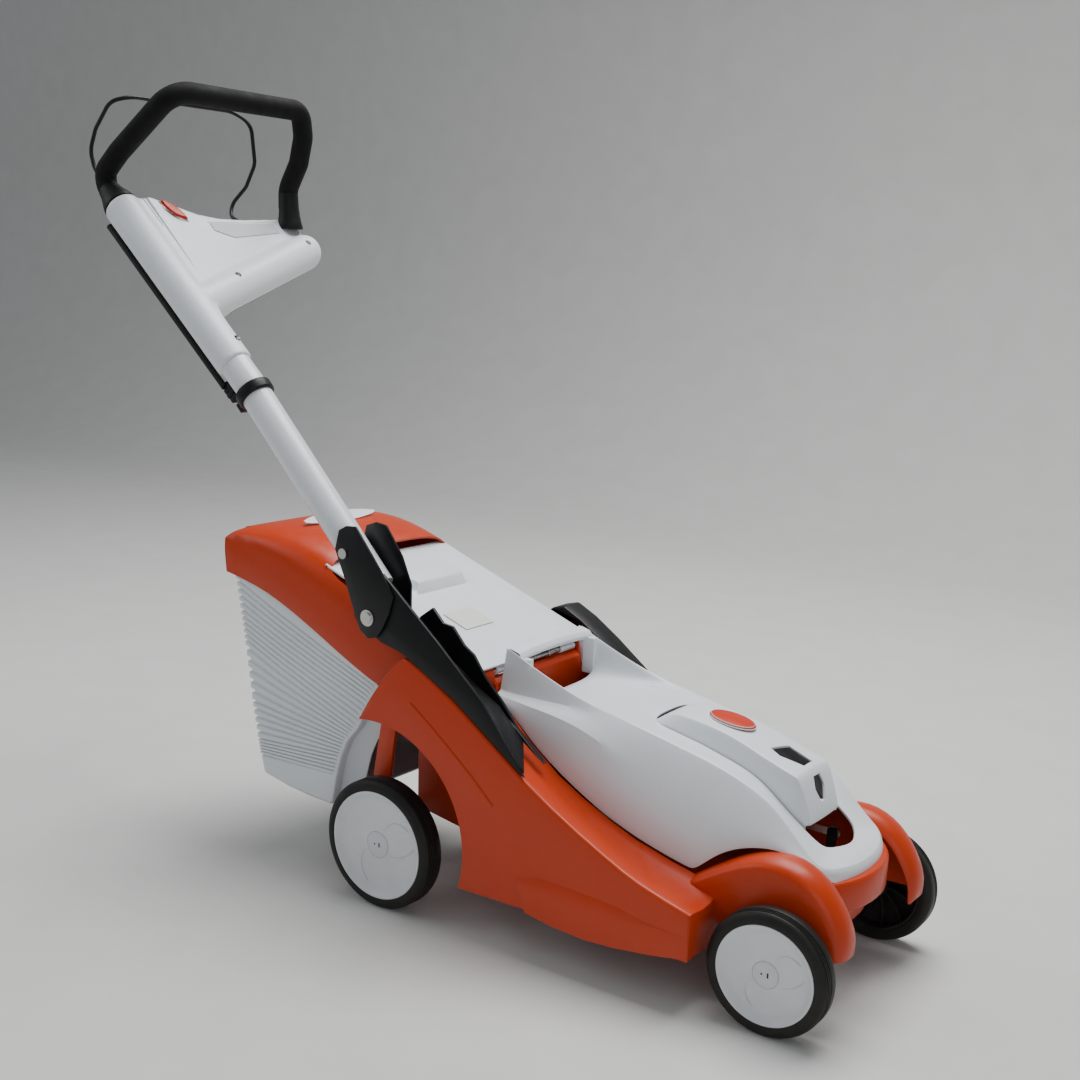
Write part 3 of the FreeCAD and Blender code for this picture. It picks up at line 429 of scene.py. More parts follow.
SEAT_ROWS = [(133, (79, 307), (45, 303), (0, 302)), (165, (79, 307), (45, 305), (0, 304)),
             (203, (78, 307), (45, 307), (0, 306)), (240, (76, 310), (45, 309), (0, 308.5)),
             (272, (72, 310.5), (45, 310), (0, 309.5)), (300, (66, 305.5), (50, 305), (0, 306)),
             (333, (64, 299), (50, 297)), (375, (64, 290), (50, 289)), (404, (64, 282), (50, 280.5)),
             (413, (64, 279.5), (50, 278)), (437, (64, 272.5), (50, 271)), (463, (64, 261), (50, 259)),
             (490, (64, 243), (50, 237)), (512, (64, 225), (50.5, 220.5)), (533, (63, 206), (50, 205))]
SEAT_TIP = [[(548, 59, 194), (545, 46, 196)], [(554, 50, 190), (550, 38, 193)],
            [(561, 36, 189), (555, 27, 192)], [(566, 17, 188), (560, 13, 191)],
            [(568, 0, 188), (562, 0, 191)]]
SEAT = [[(x, y, z) for y, z in points] for x, *points in SEAT_ROWS] + SEAT_TIP
FIRST_SEAT = 2
WIDE_SEATS = 6
bm = bmesh.new()
skin(bm, [[(x, -y, z) for x, y, z in row] for row in HOOD])
place = bm.verts.layers.int["place"]
skin(bm, [[(x, -y, z) for x, y, z in [outer[-1]] + row[:2]]
          for outer, row in zip(HOOD[FIRST_SEAT:], SEAT)])
skin(bm, [[(x, -y, z) for x, y, z in row[1:]] for row in SEAT[:WIDE_SEATS]])
bmesh.ops.remove_doubles(bm, verts=bm.verts, dist=0.01)
crease = bm.edges.layers.float.new("crease_edge")
# For each crest: where its line starts and ends, how sharp it is, and how far out it lies.
CRESTS = {2: (99, 290, 0.9, 100), 3: (99, 242, 0.85, 80), 4: (99, 592, 0.8, 80)}
NOSE_X = 550
for edge in bm.edges:
    numbers = {vert[place] for vert in edge.verts}
    middle = (edge.verts[0].co + edge.verts[1].co) / 2
    if len(numbers) > 1 or min(numbers) not in CRESTS:
        continue
    start, end, strength, outside = CRESTS[min(numbers)]
    if start <= middle.x <= end and (abs(middle.y) > outside or middle.x > NOSE_X):
        edge[crease] = strength
mirrored(bm)
made("hood_shell", bm, "chassis", GREY, ["hood"], smooth=2, wall=2.8,
     bevel=0.7, angle=24)

bm = bmesh.new()
bar = [(99, 358), (99, 367), (103, 371), (118, 367), (123, 360), (120, 355), (106, 353)]
arched = [(-85, -2), (-60, 0.5), (-30, 2), (0, 2.5), (30, 2), (60, 0.5), (85, -2)]
skin(bm, [[(x, y, z + rise) for x, z in bar] for y, rise in arched], closed=True)
for y in (-78, 78):
    block(bm, (20, 10, 52), (124, y, 332))
bmesh.ops.recalc_face_normals(bm, faces=bm.faces)
made("grab_bar", bm, "chassis", GREY, bevel=1.6, steps=3)

# ---------------------------------------------------------------- battery cover
# A raised grey lid, hinged at its back edge. Its crown has a five-sided sight window, its blunt
# front a small light hole, and an oval badge plate sits near the back. A dark bay lies under it.
# Each row of the lid: X, the Y and Z of its edge, the Y and Z of its crest, the Z of its middle.
LID = [(307, 48, 303.5, 46, 304.5, 306), (314, 48, 302, 40, 308, 310), (322, 48, 300.5, 36, 313, 315),
       (333, 48, 298, 36, 315, 316.5), (352, 48, 294, 37, 313.5, 315.5), (394, 48, 285, 38.5, 308, 311),
       (425, 48, 276, 39.5, 299, 302.5), (450, 48, 266.5, 40.5, 289.5, 293),
       (478, 48, 252, 42, 280, 284), (502, 48, 231, 43, 272.5, 276)]
FRONT_FACE = [
    [(506, -47.6, 217), (506, -47.6, 227), (508, -45, 248), (508, -42, 268), (509, -21, 270.5),
     (509, 0, 271.5)],
    [(520, -46, 210), (520, -46, 218), (521.5, -44, 222), (522.5, -41, 229), (523.5, -21, 229.5),
     (524, 0, 230)],
    [(521, -45.5, 208), (521, -45.5, 216), (523, -43.5, 216), (525, -40, 216), (526, -21, 216),
     (526.5, 0, 216)]]
EDGE_DROP = 10
FRONT_EDGE = 502
bm = bmesh.new()
skin(bm, [[(x, -edge_y, edge_z - EDGE_DROP), (x, -edge_y, edge_z),
           (x, -(edge_y + top_y) / 2, edge_z * 0.45 + top_z * 0.55),
           (x, -top_y, top_z), (x, -top_y / 2, (top_z + middle * 2) / 3), (x, 0, middle)]
          for x, edge_y, edge_z, top_y, top_z, middle in LID] + FRONT_FACE)
place = bm.verts.layers.int["place"]
crease = bm.edges.layers.float.new("crease_edge")
for edge in bm.edges:
    if {vert[place] for vert in edge.verts} in ({1}, {3}):
        edge[crease] = 0.85
    if all(abs(vert.co.x - FRONT_EDGE) < 1 for vert in edge.verts):
        edge[crease] = 0.8
mirrored(bm)


def cutter(outline, low, high, axis="Z", place=TO_FRAME):
    """A straight prism that is taken away from a piece."""
    tool = bmesh.new()
    if axis == "Z":
        prism(tool, [(x, y, low) for x, y in outline], (0, 0, high - low))
    else:
        prism(tool, [(low, y, z) for y, z in outline], (high - low, 0, 0))
    bmesh.ops.recalc_face_normals(tool, faces=tool.faces)
    bmesh.ops.transform(tool, matrix=place, verts=tool.verts)
    return placed("cutter", tool)


bay = bmesh.new()
block(bay, (166, 86, 44), (401, 0, 234))
lid_face = max(bay.faces, key=lambda item: item.calc_center_median().z)
bmesh.ops.delete(bay, geom=[lid_face], context="FACES_ONLY")
INNER_BLACK = moulded("inner_black", (0.012, 0.012, 0.013), 0.6, grain=0.15, gloss=0.3)
window = cutter([(453, -14), (468, -19), (497, -10), (497, 14), (462, 19)], 270, 330)
light_hole = cutter([(-9, 266), (9, 266), (13, 252), (5, 235), (-5, 235), (-13, 252)], 500, 540, "X")
made("battery_lid", bm, "bay_lid", GREY, ["battery_cover"], smooth=2, wall=2.6,
     cut=[window, light_hole], bevel=0.6)
made("battery_bay", bay, "chassis", INNER_BLACK, ["battery_tray"], wall=2.5,
     bevel=0.8)
BADGE = Vector((392, 0, 311.4))
BADGE_LONG = 32
BADGE_WIDE = 22
FIELD_SHARE = 0.9
lean = Matrix.Rotation(math.radians(9), 3, "Y")
bm = bmesh.new()
for lift, grow in ((0, 1.0), (0.5, 0.93)):
    oval = bmesh.ops.create_circle(bm, cap_ends=True, radius=1, segments=48)["verts"]
    bmesh.ops.scale(bm, vec=(BADGE_LONG * grow, BADGE_WIDE * grow, 1), verts=oval)
    bmesh.ops.rotate(bm, cent=(0, 0, 0), matrix=lean, verts=oval)
    bmesh.ops.translate(bm, vec=BADGE + Vector((0, 0, lift)), verts=oval)
bmesh.ops.recalc_face_normals(bm, faces=bm.faces)
badge = made("badge_plate", bm, "bay_lid",
             moulded("badge_rim", (0.75, 0.76, 0.77), 0.35), wall=1.6, bevel=0.3)
badge.data.materials.append(moulded("badge_field", (0.55, 0.022, 0.0), 0.35, grain=0.02, gloss=0.3))
for face in badge.data.polygons:
    centre = face.center * 1000
    if math.hypot((centre.x - BADGE.x - DATUM_X) / BADGE_LONG, centre.y / BADGE_WIDE) < FIELD_SHARE:
        face.material_index = 1

# ---------------------------------------------------------------- wheels
# Moulded plastic wheels: a black tread ring with three fine grooves on its shoulder, a dished grey
# disc with a swirl pressed in its face, a snap-in cap, and a black inner side with curved ribs.
TREAD = moulded("tread_black", (0.007, 0.007, 0.007), 0.5, grain=0.25, dust=0.06, grain_scale=500,
                gloss=0.25)
DISC = moulded("wheel_grey", (0.70, 0.73, 0.76), 0.42, dust=0.3)
CAP = moulded("cap_grey", (0.66, 0.69, 0.72), 0.40, dust=0.25)
HUB_BLACK = moulded("hub_black", (0.010, 0.010, 0.011), 0.5, dust=0.08, gloss=0.25)


def turned(profile, segments=96):
    """A ring or disc spun about the Y axis from points of (Y inward from the face, radius)."""
    bm = bmesh.new()
    verts = [bm.verts.new((radius, y, 0)) for y, radius in profile]
    edges = [bm.edges.new(pair) for pair in zip(verts, verts[1:])]
    bmesh.ops.spin(bm, geom=verts + edges, cent=(0, 0, 0), axis=(0, 1, 0), dvec=(0, 0, 0),
                   angle=math.tau, steps=segments, use_merge=True)
    bmesh.ops.remove_doubles(bm, verts=bm.verts, dist=0.005)
    bmesh.ops.recalc_face_normals(bm, faces=bm.faces)
    return bm


def set_wheel(bm, x, radius, face_y):
    """Moves a part drawn about its own hub to the wheel's place, turned for the left side."""
    if face_y > 0:
        half_turn = Matrix.Rotation(math.pi, 3, "Z")
        bmesh.ops.rotate(bm, cent=(0, 0, 0), matrix=half_turn, verts=bm.verts)
    bmesh.ops.translate(bm, vec=(x, face_y, radius), verts=bm.verts)
    return bm


for end, x, radius, rim, face_y, width in (("front", 542, 77.4, 62.3, 178.5, 34),
                                           ("rear", -28, 91.4, 76.7, 203.4, 37)):
    for side_name, side in (("right", -1), ("left", 1)):
        name = f"{end}_{side_name}"
        face = side * face_y
        tyre = [(1.2, rim - 0.2), (0.6, rim + 1.5), (0.9, radius - 8), (2.4, radius - 4.2),
                (4.6, radius - 1.8)]
        for groove in (6.5, 10.5, 14.5):
            tyre += [(groove, radius - 0.6), (groove + 0.3, radius - 2.2),
                     (groove + 1.3, radius - 2.2), (groove + 1.6, radius - 0.1)]
        tyre += [(width - 9, radius), (width - 4.6, radius - 1.4), (width - 2, radius - 5),
                 (width - 0.6, radius - 9), (width - 1, rim - 0.2), (1.2, rim - 0.2)]
        made(name + "_tread", set_wheel(turned(tyre), x, radius, face), name + "_wheel",
             TREAD, [name + "_tyre"], bevel=0.25)
        hub = 16.5 if end == "front" else 18.5
        disc = [(11, rim - 0.4), (1.4, rim - 0.4), (0.6, rim - 1.2), (0.9, rim - 3.0),
                (4.6, rim - 6.5), (7.2, rim - 11), (7.9, rim - 14), (6.8, hub + 13),
                (6.2, hub + 0.8), (6.9, hub + 0.6), (6.9, hub), (9, hub), (9, 7.1)]
        made(name + "_disc", set_wheel(turned(disc), x, radius, face), name + "_wheel",
             DISC, [name + "_rim"], angle=30)
        cap = [(6.9, hub - 0.1), (5.9, hub - 0.4), (5.3, hub - 1.6), (4.9, 5), (4.9, 0.01)]
        bm = turned(cap, 64)
        made(name + "_cap", set_wheel(bm, x, radius, face), name + "_wheel", CAP,
             [name + "_hub_cap"], angle=30)
        bm = bmesh.new()
        for slot_x, tall in ((-4.5, 2.4), (3.5, 6.4)):
            block(bm, (2.0, 0.6, tall), (slot_x, 4.75, 0.5))
        made(name + "_cap_slots", set_wheel(bm, x, radius, face), name + "_wheel",
             HUB_BLACK, bevel=0.3)
        bm = bmesh.new()
        swirls = (((hub + 2, 62), (rim * 0.62, 66), (rim - 15, 30)),
                  ((hub + 2, -30), (rim * 0.6, -8), (rim - 15, 8)),
                  ((hub + 1, 205), (rim * 0.6, 222), (rim - 15, 252)))
        for line in swirls:
            rows = []
            for share in [number / 10 for number in range(11)]:
                weights = ((1 - share) ** 2, 2 * share * (1 - share), share ** 2)
                reach = sum(weight * point[0] for weight, point in zip(weights, line))
                turn = math.radians(sum(weight * point[1] for weight, point in zip(weights, line)))
                rows.append([(reach * math.cos(turn) + 0.55 * wide, 6.9 + 0.4 * share - 0.75 * high,
                              reach * math.sin(turn))
                             for wide, high in ((-1, 0), (-0.4, 1), (0.4, 1), (1, 0))])
            skin(bm, rows)
        bmesh.ops.recalc_face_normals(bm, faces=bm.faces)
        made(name + "_swirl", set_wheel(bm, x, radius, face), name + "_wheel", DISC)
        inner = [(10, rim - 0.4), (width - 1.6, rim - 0.6), (width - 1.6, rim - 3.4),
                 (14, rim - 4.5), (12, rim - 10), (12, 17), (width - 2, 15), (width - 2, 7.1),
                 (10, 7.1)]
        bm = turned(inner, 72)
        for rib in range(12):
            turn = rib * math.tau / 12
            rows = []
            for share in [number / 4 for number in range(5)]:
                reach = 15 + (rim - 19) * share
                bend = turn + 0.32 * share
                rows.append([(reach * math.cos(bend) + side_x * 0.9 * math.sin(bend), y,
                              reach * math.sin(bend) - side_x * 0.9 * math.cos(bend))
                             for side_x, y in ((-1, 12), (-1, 25), (1, 25), (1, 12))])
            skin(bm, rows, closed=True)
        bmesh.ops.recalc_face_normals(bm, faces=bm.faces)
        made(name + "_inner_side", set_wheel(bm, x, radius, face), name + "_wheel",
             HUB_BLACK, angle=30)

# ---------------------------------------------------------------- discharge flap
# A light grey lid over the chute, on a hinge pin at its front edge. Its rear half is a raised
# wedge whose blunt front makes a finger edge, and a plain label is stuck on its slope.
FLAP = [(91, 346, 0), (60, 357, 0), (-10, 382.5, 0), (-60, 400.5, 0), (-80, 408, 0),
        (-84, 409.5, 13), (-88, 411, 15), (-120, 422.5, 10), (-160, 437.5, 4), (-188, 448, 0)]
ACROSS = [(-129, 0), (-90, 0), (-62, 0), (-54, 0.35), (-50, 1), (-25, 1), (0, 1), (25, 1), (50, 1),
          (54, 0.35), (62, 0), (90, 0), (129, 0)]
bm = bmesh.new()
skin(bm, [[(x, y, z + rise * share) for y, share in ACROSS] for x, z, rise in FLAP])
bmesh.ops.recalc_face_normals(bm, faces=bm.faces)
made("flap_lid", bm, "flap", GREY, ["discharge_flap"], wall=3.5, bevel=1.2,
     steps=3)
KNUCKLE = 34
KNUCKLE_R = 5.5
on_side = Matrix.Rotation(math.pi / 2, 3, "X")
bm = bmesh.new()
for y in (-75, 75):
    drum = bmesh.ops.create_cone(bm, cap_ends=True, segments=24, radius1=KNUCKLE_R,
                                 radius2=KNUCKLE_R, depth=KNUCKLE)["verts"]
    bmesh.ops.rotate(bm, cent=(0, 0, 0), matrix=on_side, verts=drum)
    bmesh.ops.translate(bm, vec=(84, y, 336.5), verts=drum)
    block(bm, (9, KNUCKLE, 10), (82, y, 341))
made("flap_knuckles", bm, "flap", GREY, bevel=0.5)
slope = Matrix.Rotation(math.atan2(409.5 - 346, 91 + 84), 3, "Y")
bm = bmesh.new()
label = bmesh.ops.create_grid(bm, x_segments=1, y_segments=1, size=0.5)["verts"]
bmesh.ops.scale(bm, vec=(44, 62, 1), verts=label)
bmesh.ops.rotate(bm, cent=(0, 0, 0), matrix=slope, verts=label)
bmesh.ops.translate(bm, vec=(-8, -32, 382.8), verts=label)
made("plain_label", bm, "flap",
     moulded("label_film", (0.74, 0.74, 0.70), 0.3, grain=0.02), wall=-0.4)

# ---------------------------------------------------------------- grass catcher
# An orange lid moulding over a light grey box. The lid's crown curves down to a crease and a
# plain side band; the box is louvred on its sides and back and has a flanged mouth at the front.
CREASE = [(-377, 468), (-340, 464), (-296, 456), (-255, 444), (-217, 429), (-180, 413), (-141, 396),
          (-100, 374), (-62, 350), (-26, 330)]
LOWER = [(-378, 412), (-340, 404), (-297, 394), (-255, 377), (-218, 360), (-180, 341),
         (-141, 321), (-108, 306), (-83, 295), (-58, 290)]
CROWN_TOP = [(-377, 474), (-340, 483), (-296, 485), (-255, 483), (-217, 475), (-180, 463),
             (-141, 448), (-100, 427), (-62, 406), (-30, 384)]
bm = bmesh.new()
for first, last in ((0, 6), (5, 10)):
    rows = []
    for (lx, lz), (cx, cz), (tx, tz) in list(zip(LOWER, CREASE, CROWN_TOP))[first:last]:
        row = [(lx, -139.4, lz), (cx, -140, cz)]
        row += [(cx + (tx - cx) * share, -y, cz + (tz - cz) * lift)
                for y, share, lift in ((138.5, 0.1, 0.18), (133, 0.3, 0.5))]
        if first == 0:
            row += [(tx, -y, cz + (tz - cz) * lift)
                    for y, lift in ((118, 0.82), (90, 0.95), (50, 1.0), (0, 1.0))]
        rows.append(row)
    skin(bm, rows)
skin(bm, [[(LOWER[0][0], -139.4, LOWER[0][1]), (-381, -139.6, 440), (-380, -139.8, 458),
           (CREASE[0][0], -140, CREASE[0][1])],
          [(-383, -134, 411.5), (-385, -134, 440), (-383.5, -134, 460), (-378.5, -134, 471)],
          [(-385, -118, 411), (-387, -118, 440), (-385.5, -118, 463), (-379, -118, 473)],
          [(-386, 0, 411), (-388, 0, 440), (-386.5, 0, 465), (-380, 0, 475.5)]])
bmesh.ops.remove_doubles(bm, verts=bm.verts, dist=4)
mirrored(bm)
made("catcher_top", bm, "catcher", ORANGE, ["catcher_lid"], smooth=1, wall=2.8,
     bevel=0.8)
bm = bmesh.new()
skin(bm, [[(-186, y, 447), (-190, y, 433.5), (-120, y, 408), (-44, y, 380)] for y in (-131, 131)])
made("catcher_recess", bm, "catcher", ORANGE, wall=2.5, bevel=0.6)

BACK = [(-368, 408), (-358, 352), (-350, 306), (-338, 222), (-327, 162), (-322, 138)]
FRONT = [(-86, 292), (-104, 262), (-126, 221), (-146, 198), (-158, 172), (-167, 140)]
LOUVRES = 26
GROOVE = 3.6
bm = bmesh.new()
rows = [[(-86, -134, 300), (-96, -134, 304), (-180, -134, 348), (-274, -134, 391),
         (-360, -134, 412), (-366, -132, 412), (-368, -125, 412), (-368, 0, 412)]]
for number in range(LOUVRES):
    for part_way, out in ((0.06, 0), (0.56, 0.8), (0.62, -GROOVE), (1.0, -GROOVE)):
        share = (number + part_way) / LOUVRES * (len(BACK) - 1)
        index = min(int(share), len(BACK) - 2)
        part = share - index
        bx, bz = [a + (b - a) * part for a, b in zip(BACK[index], BACK[index + 1])]
        fx, fz = [a + (b - a) * part for a, b in zip(FRONT[index], FRONT[index + 1])]
        rows.append([(fx, -134, fz), (fx - 10, -134 - out, fz + (bz - fz) * 0.05),
                     ((fx * 2 + bx) / 3, -134 - out, (fz * 2 + bz) / 3),
                     ((fx + bx * 2) / 3, -134 - out, (fz + bz * 2) / 3),
                     (bx + 8, -134 - out, bz), (bx + 2 - out * 0.7, -132 - out, bz),
                     (bx - out, -125 - out, bz), (bx - out, 0, bz)])
rows += [
    [(-168, -134, 136), (-178, -134, 136), (-220, -134, 136), (-270, -134, 136), (-313, -134, 136),
     (-319, -132, 136), (-321, -125, 136), (-321, 0, 136)],
    [(-175, -134, 97), (-185, -134, 98), (-220, -134, 100), (-262, -134, 104), (-306, -134, 111),
     (-313, -132, 112), (-315, -125, 112), (-315, 0, 112)],
    [(-178, -130, 93), (-188, -130, 94), (-220, -130, 95), (-262, -129, 99), (-298, -128, 105),
     (-303, -126, 106), (-306, -120, 107), (-306, 0, 107)],
    [(-180, 0, 92.5), (-190, 0, 93), (-220, 0, 95), (-262, 0, 99), (-290, 0, 104),
     (-296, 0, 105), (-300, 0, 106), (-303, 0, 107)]]
skin(bm, rows)
mirrored(bm)
made("catcher_bin", bm, "catcher", GREY, ["catcher_box"], wall=2.2, bevel=0.3,
     angle=30)
bm = bmesh.new()
FLANGE = [(-1, -134.6, 0), (3, -134, 0), (5, -130, 0), (3, -119, 0), (18, -117, 2), (46, -117, 8)]
skin(bm, [[(x + ahead, y, z + rise) for x, z in FRONT + [(-171, 120), (-176, 97)]]
          for ahead, y, rise in FLANGE])
mirrored(bm)
made("catcher_mouth", bm, "catcher", GREY, wall=2.4, bevel=0.8)
bm = bmesh.new()
lens_line = [(y, 9 * (1 - (y / 75) ** 2) ** 0.8) for y in range(-75, 76, 10)]
skin(bm, [[(-280 + (reach + 2) * side, y, 489 - (reach + 2) * side * 0.42 + lift)
           for y, reach in lens_line]
          for side, lift in ((-1.3, 0), (-0.8, 0.8), (0, 1.1), (0.6, 0.8), (1, 0))])
bmesh.ops.recalc_face_normals(bm, faces=bm.faces)
made("fill_flap", bm, "level_flap", GREY, ["fill_indicator"], wall=1.4)

# ---------------------------------------------------------------- handlebar brackets
# Black moulded consoles on the deck's shoulders. The right one carries the pivot bolt of the
# folding handlebar between an outer plate and a stepped inner one; the left one is a blank cover.
BLACK = moulded("black_moulding", (0.006, 0.006, 0.007), 0.40, grain=0.12, dust=0.02, gloss=0.25)
NEAR = [(-74, 404), (-66, 424), (-24, 468), (20, 432), (68, 393), (140, 330), (210, 243),
        (96, 322), (14, 365), (-20, 376), (-60, 388)]
CORE = [(-70, 406), (-63, 423), (-46, 430), (-29, 423), (-22, 406), (-10, 384), (60, 350),
        (150, 300), (205, 251), (208, 246), (96, 321), (14, 364), (-30, 374), (-62, 390)]
FAR = [(-12, 376), (-6, 404), (16, 420), (34, 402), (50, 400), (70, 378), (86, 368),
       (105, 342), (132, 316), (160, 283), (206, 246), (96, 323), (14, 366)]
plate("right_console", NEAR, -195.4, -190.6, "chassis", BLACK, ["console_right"],
      bevel=1.5, extra=[(FAR, -141, -136)])
CORE_FAR = [(x, z) if x < 100 else (x - 34 * (x - 96) / 110, z + 22 * (x - 96) / 110)
            for x, z in CORE]
bm = bmesh.new()
near_rim, far_rim = skin(bm, [[(x, -191, z) for x, z in CORE],
                              [(x, -145.6, z) for x, z in CORE_FAR]], closed=True)
bmesh.ops.contextual_create(bm, geom=near_rim)
bmesh.ops.contextual_create(bm, geom=far_rim)
bmesh.ops.recalc_face_normals(bm, faces=bm.faces)
made("right_console_core", bm, "chassis", BLACK, bevel=1.2)
plate("right_console_web", [(30, 358), (60, 352), (160, 285), (205, 247), (96, 323)], -146, -140,
      "chassis", BLACK, bevel=1)
plate("left_console", [(-6, 352), (-4, 360), (8, 369), (28, 374), (60, 358), (101, 331),
                       (160, 287), (212, 243), (96, 321), (13, 364)], 150, 193, "chassis",
      BLACK, ["console_left"], bevel=3)
PAINT_BLACK = moulded("black_powder_coat", (0.007, 0.007, 0.008), 0.36, grain=0.1, gloss=0.3)
plate("outer_foot", [(-97, 516), (-84, 523), (-67, 524), (-24, 472), (-2, 440), (-10, 416),
                     (-20, 396), (-30, 382), (-46, 378), (-60, 388), (-70, 410), (-86, 450),
                     (-104, 490)], -199, -195.6, "handlebar", PAINT_BLACK,
      ["handle_foot_outer"], bevel=1)
plate("inner_foot", [(-97, 516), (-80, 522), (-62, 520), (-34, 482), (-18, 446), (-18, 410),
                     (-30, 386), (-48, 379), (-64, 388), (-72, 410), (-88, 450), (-104, 490)],
      -145.4, -141.6, "handlebar", PAINT_BLACK, ["handle_foot_inner"], bevel=1)

# ---------------------------------------------------------------- height lever
# A flat black hand lever on the left skirt, with a ribbed thumb pad, turning on a headed pin.
plate("height_handle", [(31, 244), (36, 240), (44, 240), (49, 246), (49, 256), (27, 322),
                        (14, 318)], 196, 201, "height_control", BLACK,
      ["height_lever"], bevel=1.2,
      extra=[([(13, 316), (27, 320), (24, 334), (22, 345), (10, 352), (2, 345)], 195.8, 203.2)]
      + [([(10 + step, 318 + step * 8), (24 + step, 322 + step * 8), (24 + step, 325 + step * 8),
           (10 + step, 321 + step * 8)], 203, 203.3) for step in (0, 1, 2)])

# ---------------------------------------------------------------- handlebar tube
# One powder-coated steel tube with a shallow bend, clamped between the two foot plates and run
# up inside the head's sleeve. A black ring with a lug clamps the joint below the sleeve.
PAINT = moulded("grey_powder_coat", (0.72, 0.75, 0.78), 0.28, grain=0.05, coat=0.35)
TUBE_SLOPE = math.radians(46.3)
HEAD_SLOPE = math.radians(42.45)
BEND = Vector((-290, -168, 688))
DOWN = Vector((math.cos(TUBE_SLOPE), 0, -math.sin(TUBE_SLOPE)))
UP = Vector((-math.cos(HEAD_SLOPE), 0, math.sin(HEAD_SLOPE)))
TO_HEAD = Matrix.Translation(BEND) @ Matrix.Rotation(HEAD_SLOPE - math.pi, 4, "Y")


def rounded(points, bend, steps=7):
    """Straight runs with a round bend of about the given radius at each corner."""
    corners = [Vector(point) for point in points]
    path = [corners[0]]
    for before, corner, after in zip(corners, corners[1:], corners[2:]):
        back = before - corner
        ahead = after - corner
        half = (math.pi - back.angle(ahead)) / 2
        radius = min(bend, 0.45 * min(back.length, ahead.length) / math.tan(half))
        first = corner + back.normalized() * radius * math.tan(half)
        centre = corner + (back.normalized() + ahead.normalized()).normalized() * (
            radius / math.cos(half))
        turn = (first - centre).rotation_difference(
            corner + ahead.normalized() * radius * math.tan(half) - centre)
        for step in range(steps + 1):
            share = turn.copy()
            share.angle = turn.angle * step / steps
            path.append(centre + share @ (first - centre))
    path.append(corners[-1])
    return path


def swept(path, radii, sides):
    """A round bar along a path, with a radius for each point, closed at both ends."""
    bm = bmesh.new()
    across = (path[1] - path[0]).orthogonal().normalized()
    sections = []
    for number, point in enumerate(path):
        heading = (path[min(number + 1, len(path) - 1)] - path[max(number - 1, 0)]).normalized()
        across = (across - heading * across.dot(heading)).normalized()
        other = heading.cross(across)
        sections.append([point + (across * math.cos(turn) + other * math.sin(turn)) * radii[number]
                         for turn in [math.tau * side / sides for side in range(sides)]])
    first, last = skin(bm, sections, closed=True)
    bmesh.ops.contextual_create(bm, geom=first)
    bmesh.ops.contextual_create(bm, geom=last)
    bmesh.ops.recalc_face_normals(bm, faces=bm.faces)
    return bm


TUBE_R = 22
tube_path = rounded([BEND + DOWN * 342, BEND, BEND + UP * 346], 400, 10)
made("painted_tube", swept(tube_path, [TUBE_R] * len(tube_path), 40), "handlebar",
     PAINT, ["handle_tube"])
quarter_turn = Matrix.Rotation(math.pi / 2, 3, "Z")
bm = turned([(5, 22.2), (5, 25), (6.5, 26.5), (19.5, 26.5), (21, 25), (21, 22.2)], 56)
bmesh.ops.rotate(bm, cent=(0, 0, 0), matrix=quarter_turn, verts=bm.verts)
block(bm, (14, 18, 10), (-13, 0, 28.5))
bmesh.ops.transform(bm, verts=bm.verts, matrix=Matrix.Translation(BEND)
                    @ Matrix.Rotation(TUBE_SLOPE - math.pi, 4, "Y"))
bmesh.ops.recalc_face_normals(bm, faces=bm.faces)
made("clamp_band", bm, "handlebar", BLACK, ["clamp_ring"], bevel=1)

# ---------------------------------------------------------------- head housing
# The light grey head is one hollow moulding: a sleeve over the tube, a round cross arm that
# carries the far end of the grip, and a web between them. Its joints are blended by remeshing.
ARM_START = Vector((150, 6, 0))
ARM_END = Vector((262, 298, -7))
WEB = [(60, 6), (100, 14), (130, 22), (345, 14), (352, 42), (338, 76), (322, 110), (315, 150),
       (316, 200), (325, 306), (262, 306), (160, 24)]
WEB_RAISED = [(120, 20), (335, 16), (318, 60), (308, 120), (306, 200), (300, 290), (262, 290)]
SLEEVE_R = 25.6
ARM_R = 27.6
bm = bmesh.new()
for start, end, radius in ((Vector((38, 0, 0)), Vector((350, 0, 0)), SLEEVE_R),
                           (ARM_START, ARM_END, ARM_R)):
    rod = bmesh.ops.create_cone(bm, cap_ends=True, segments=64, radius1=radius, radius2=radius,
                                depth=(end - start).length)["verts"]
    turn = Vector((0, 0, 1)).rotation_difference(end - start)
    bmesh.ops.transform(bm, verts=rod, matrix=Matrix.Translation((start + end) / 2)
                        @ turn.to_matrix().to_4x4())
ball = bmesh.ops.create_uvsphere(bm, u_segments=48, v_segments=24, radius=27.4)["verts"]
bmesh.ops.translate(bm, vec=ARM_END, verts=ball)
for outline, low, top in ((WEB, -21, 7.5), (WEB_RAISED, 5, 11)):
    prism(bm, [(x, y, low) for x, y in outline], (0, 0, top - low))
bmesh.ops.recalc_face_normals(bm, faces=bm.faces)
head = placed("head_blend", bm)
grid = head.modifiers.new("blend", "REMESH")
grid.mode = "VOXEL"
grid.voxel_size = 2.4
soften = head.modifiers.new("soften", "SMOOTH")
soften.factor = 0.6
soften.iterations = 9

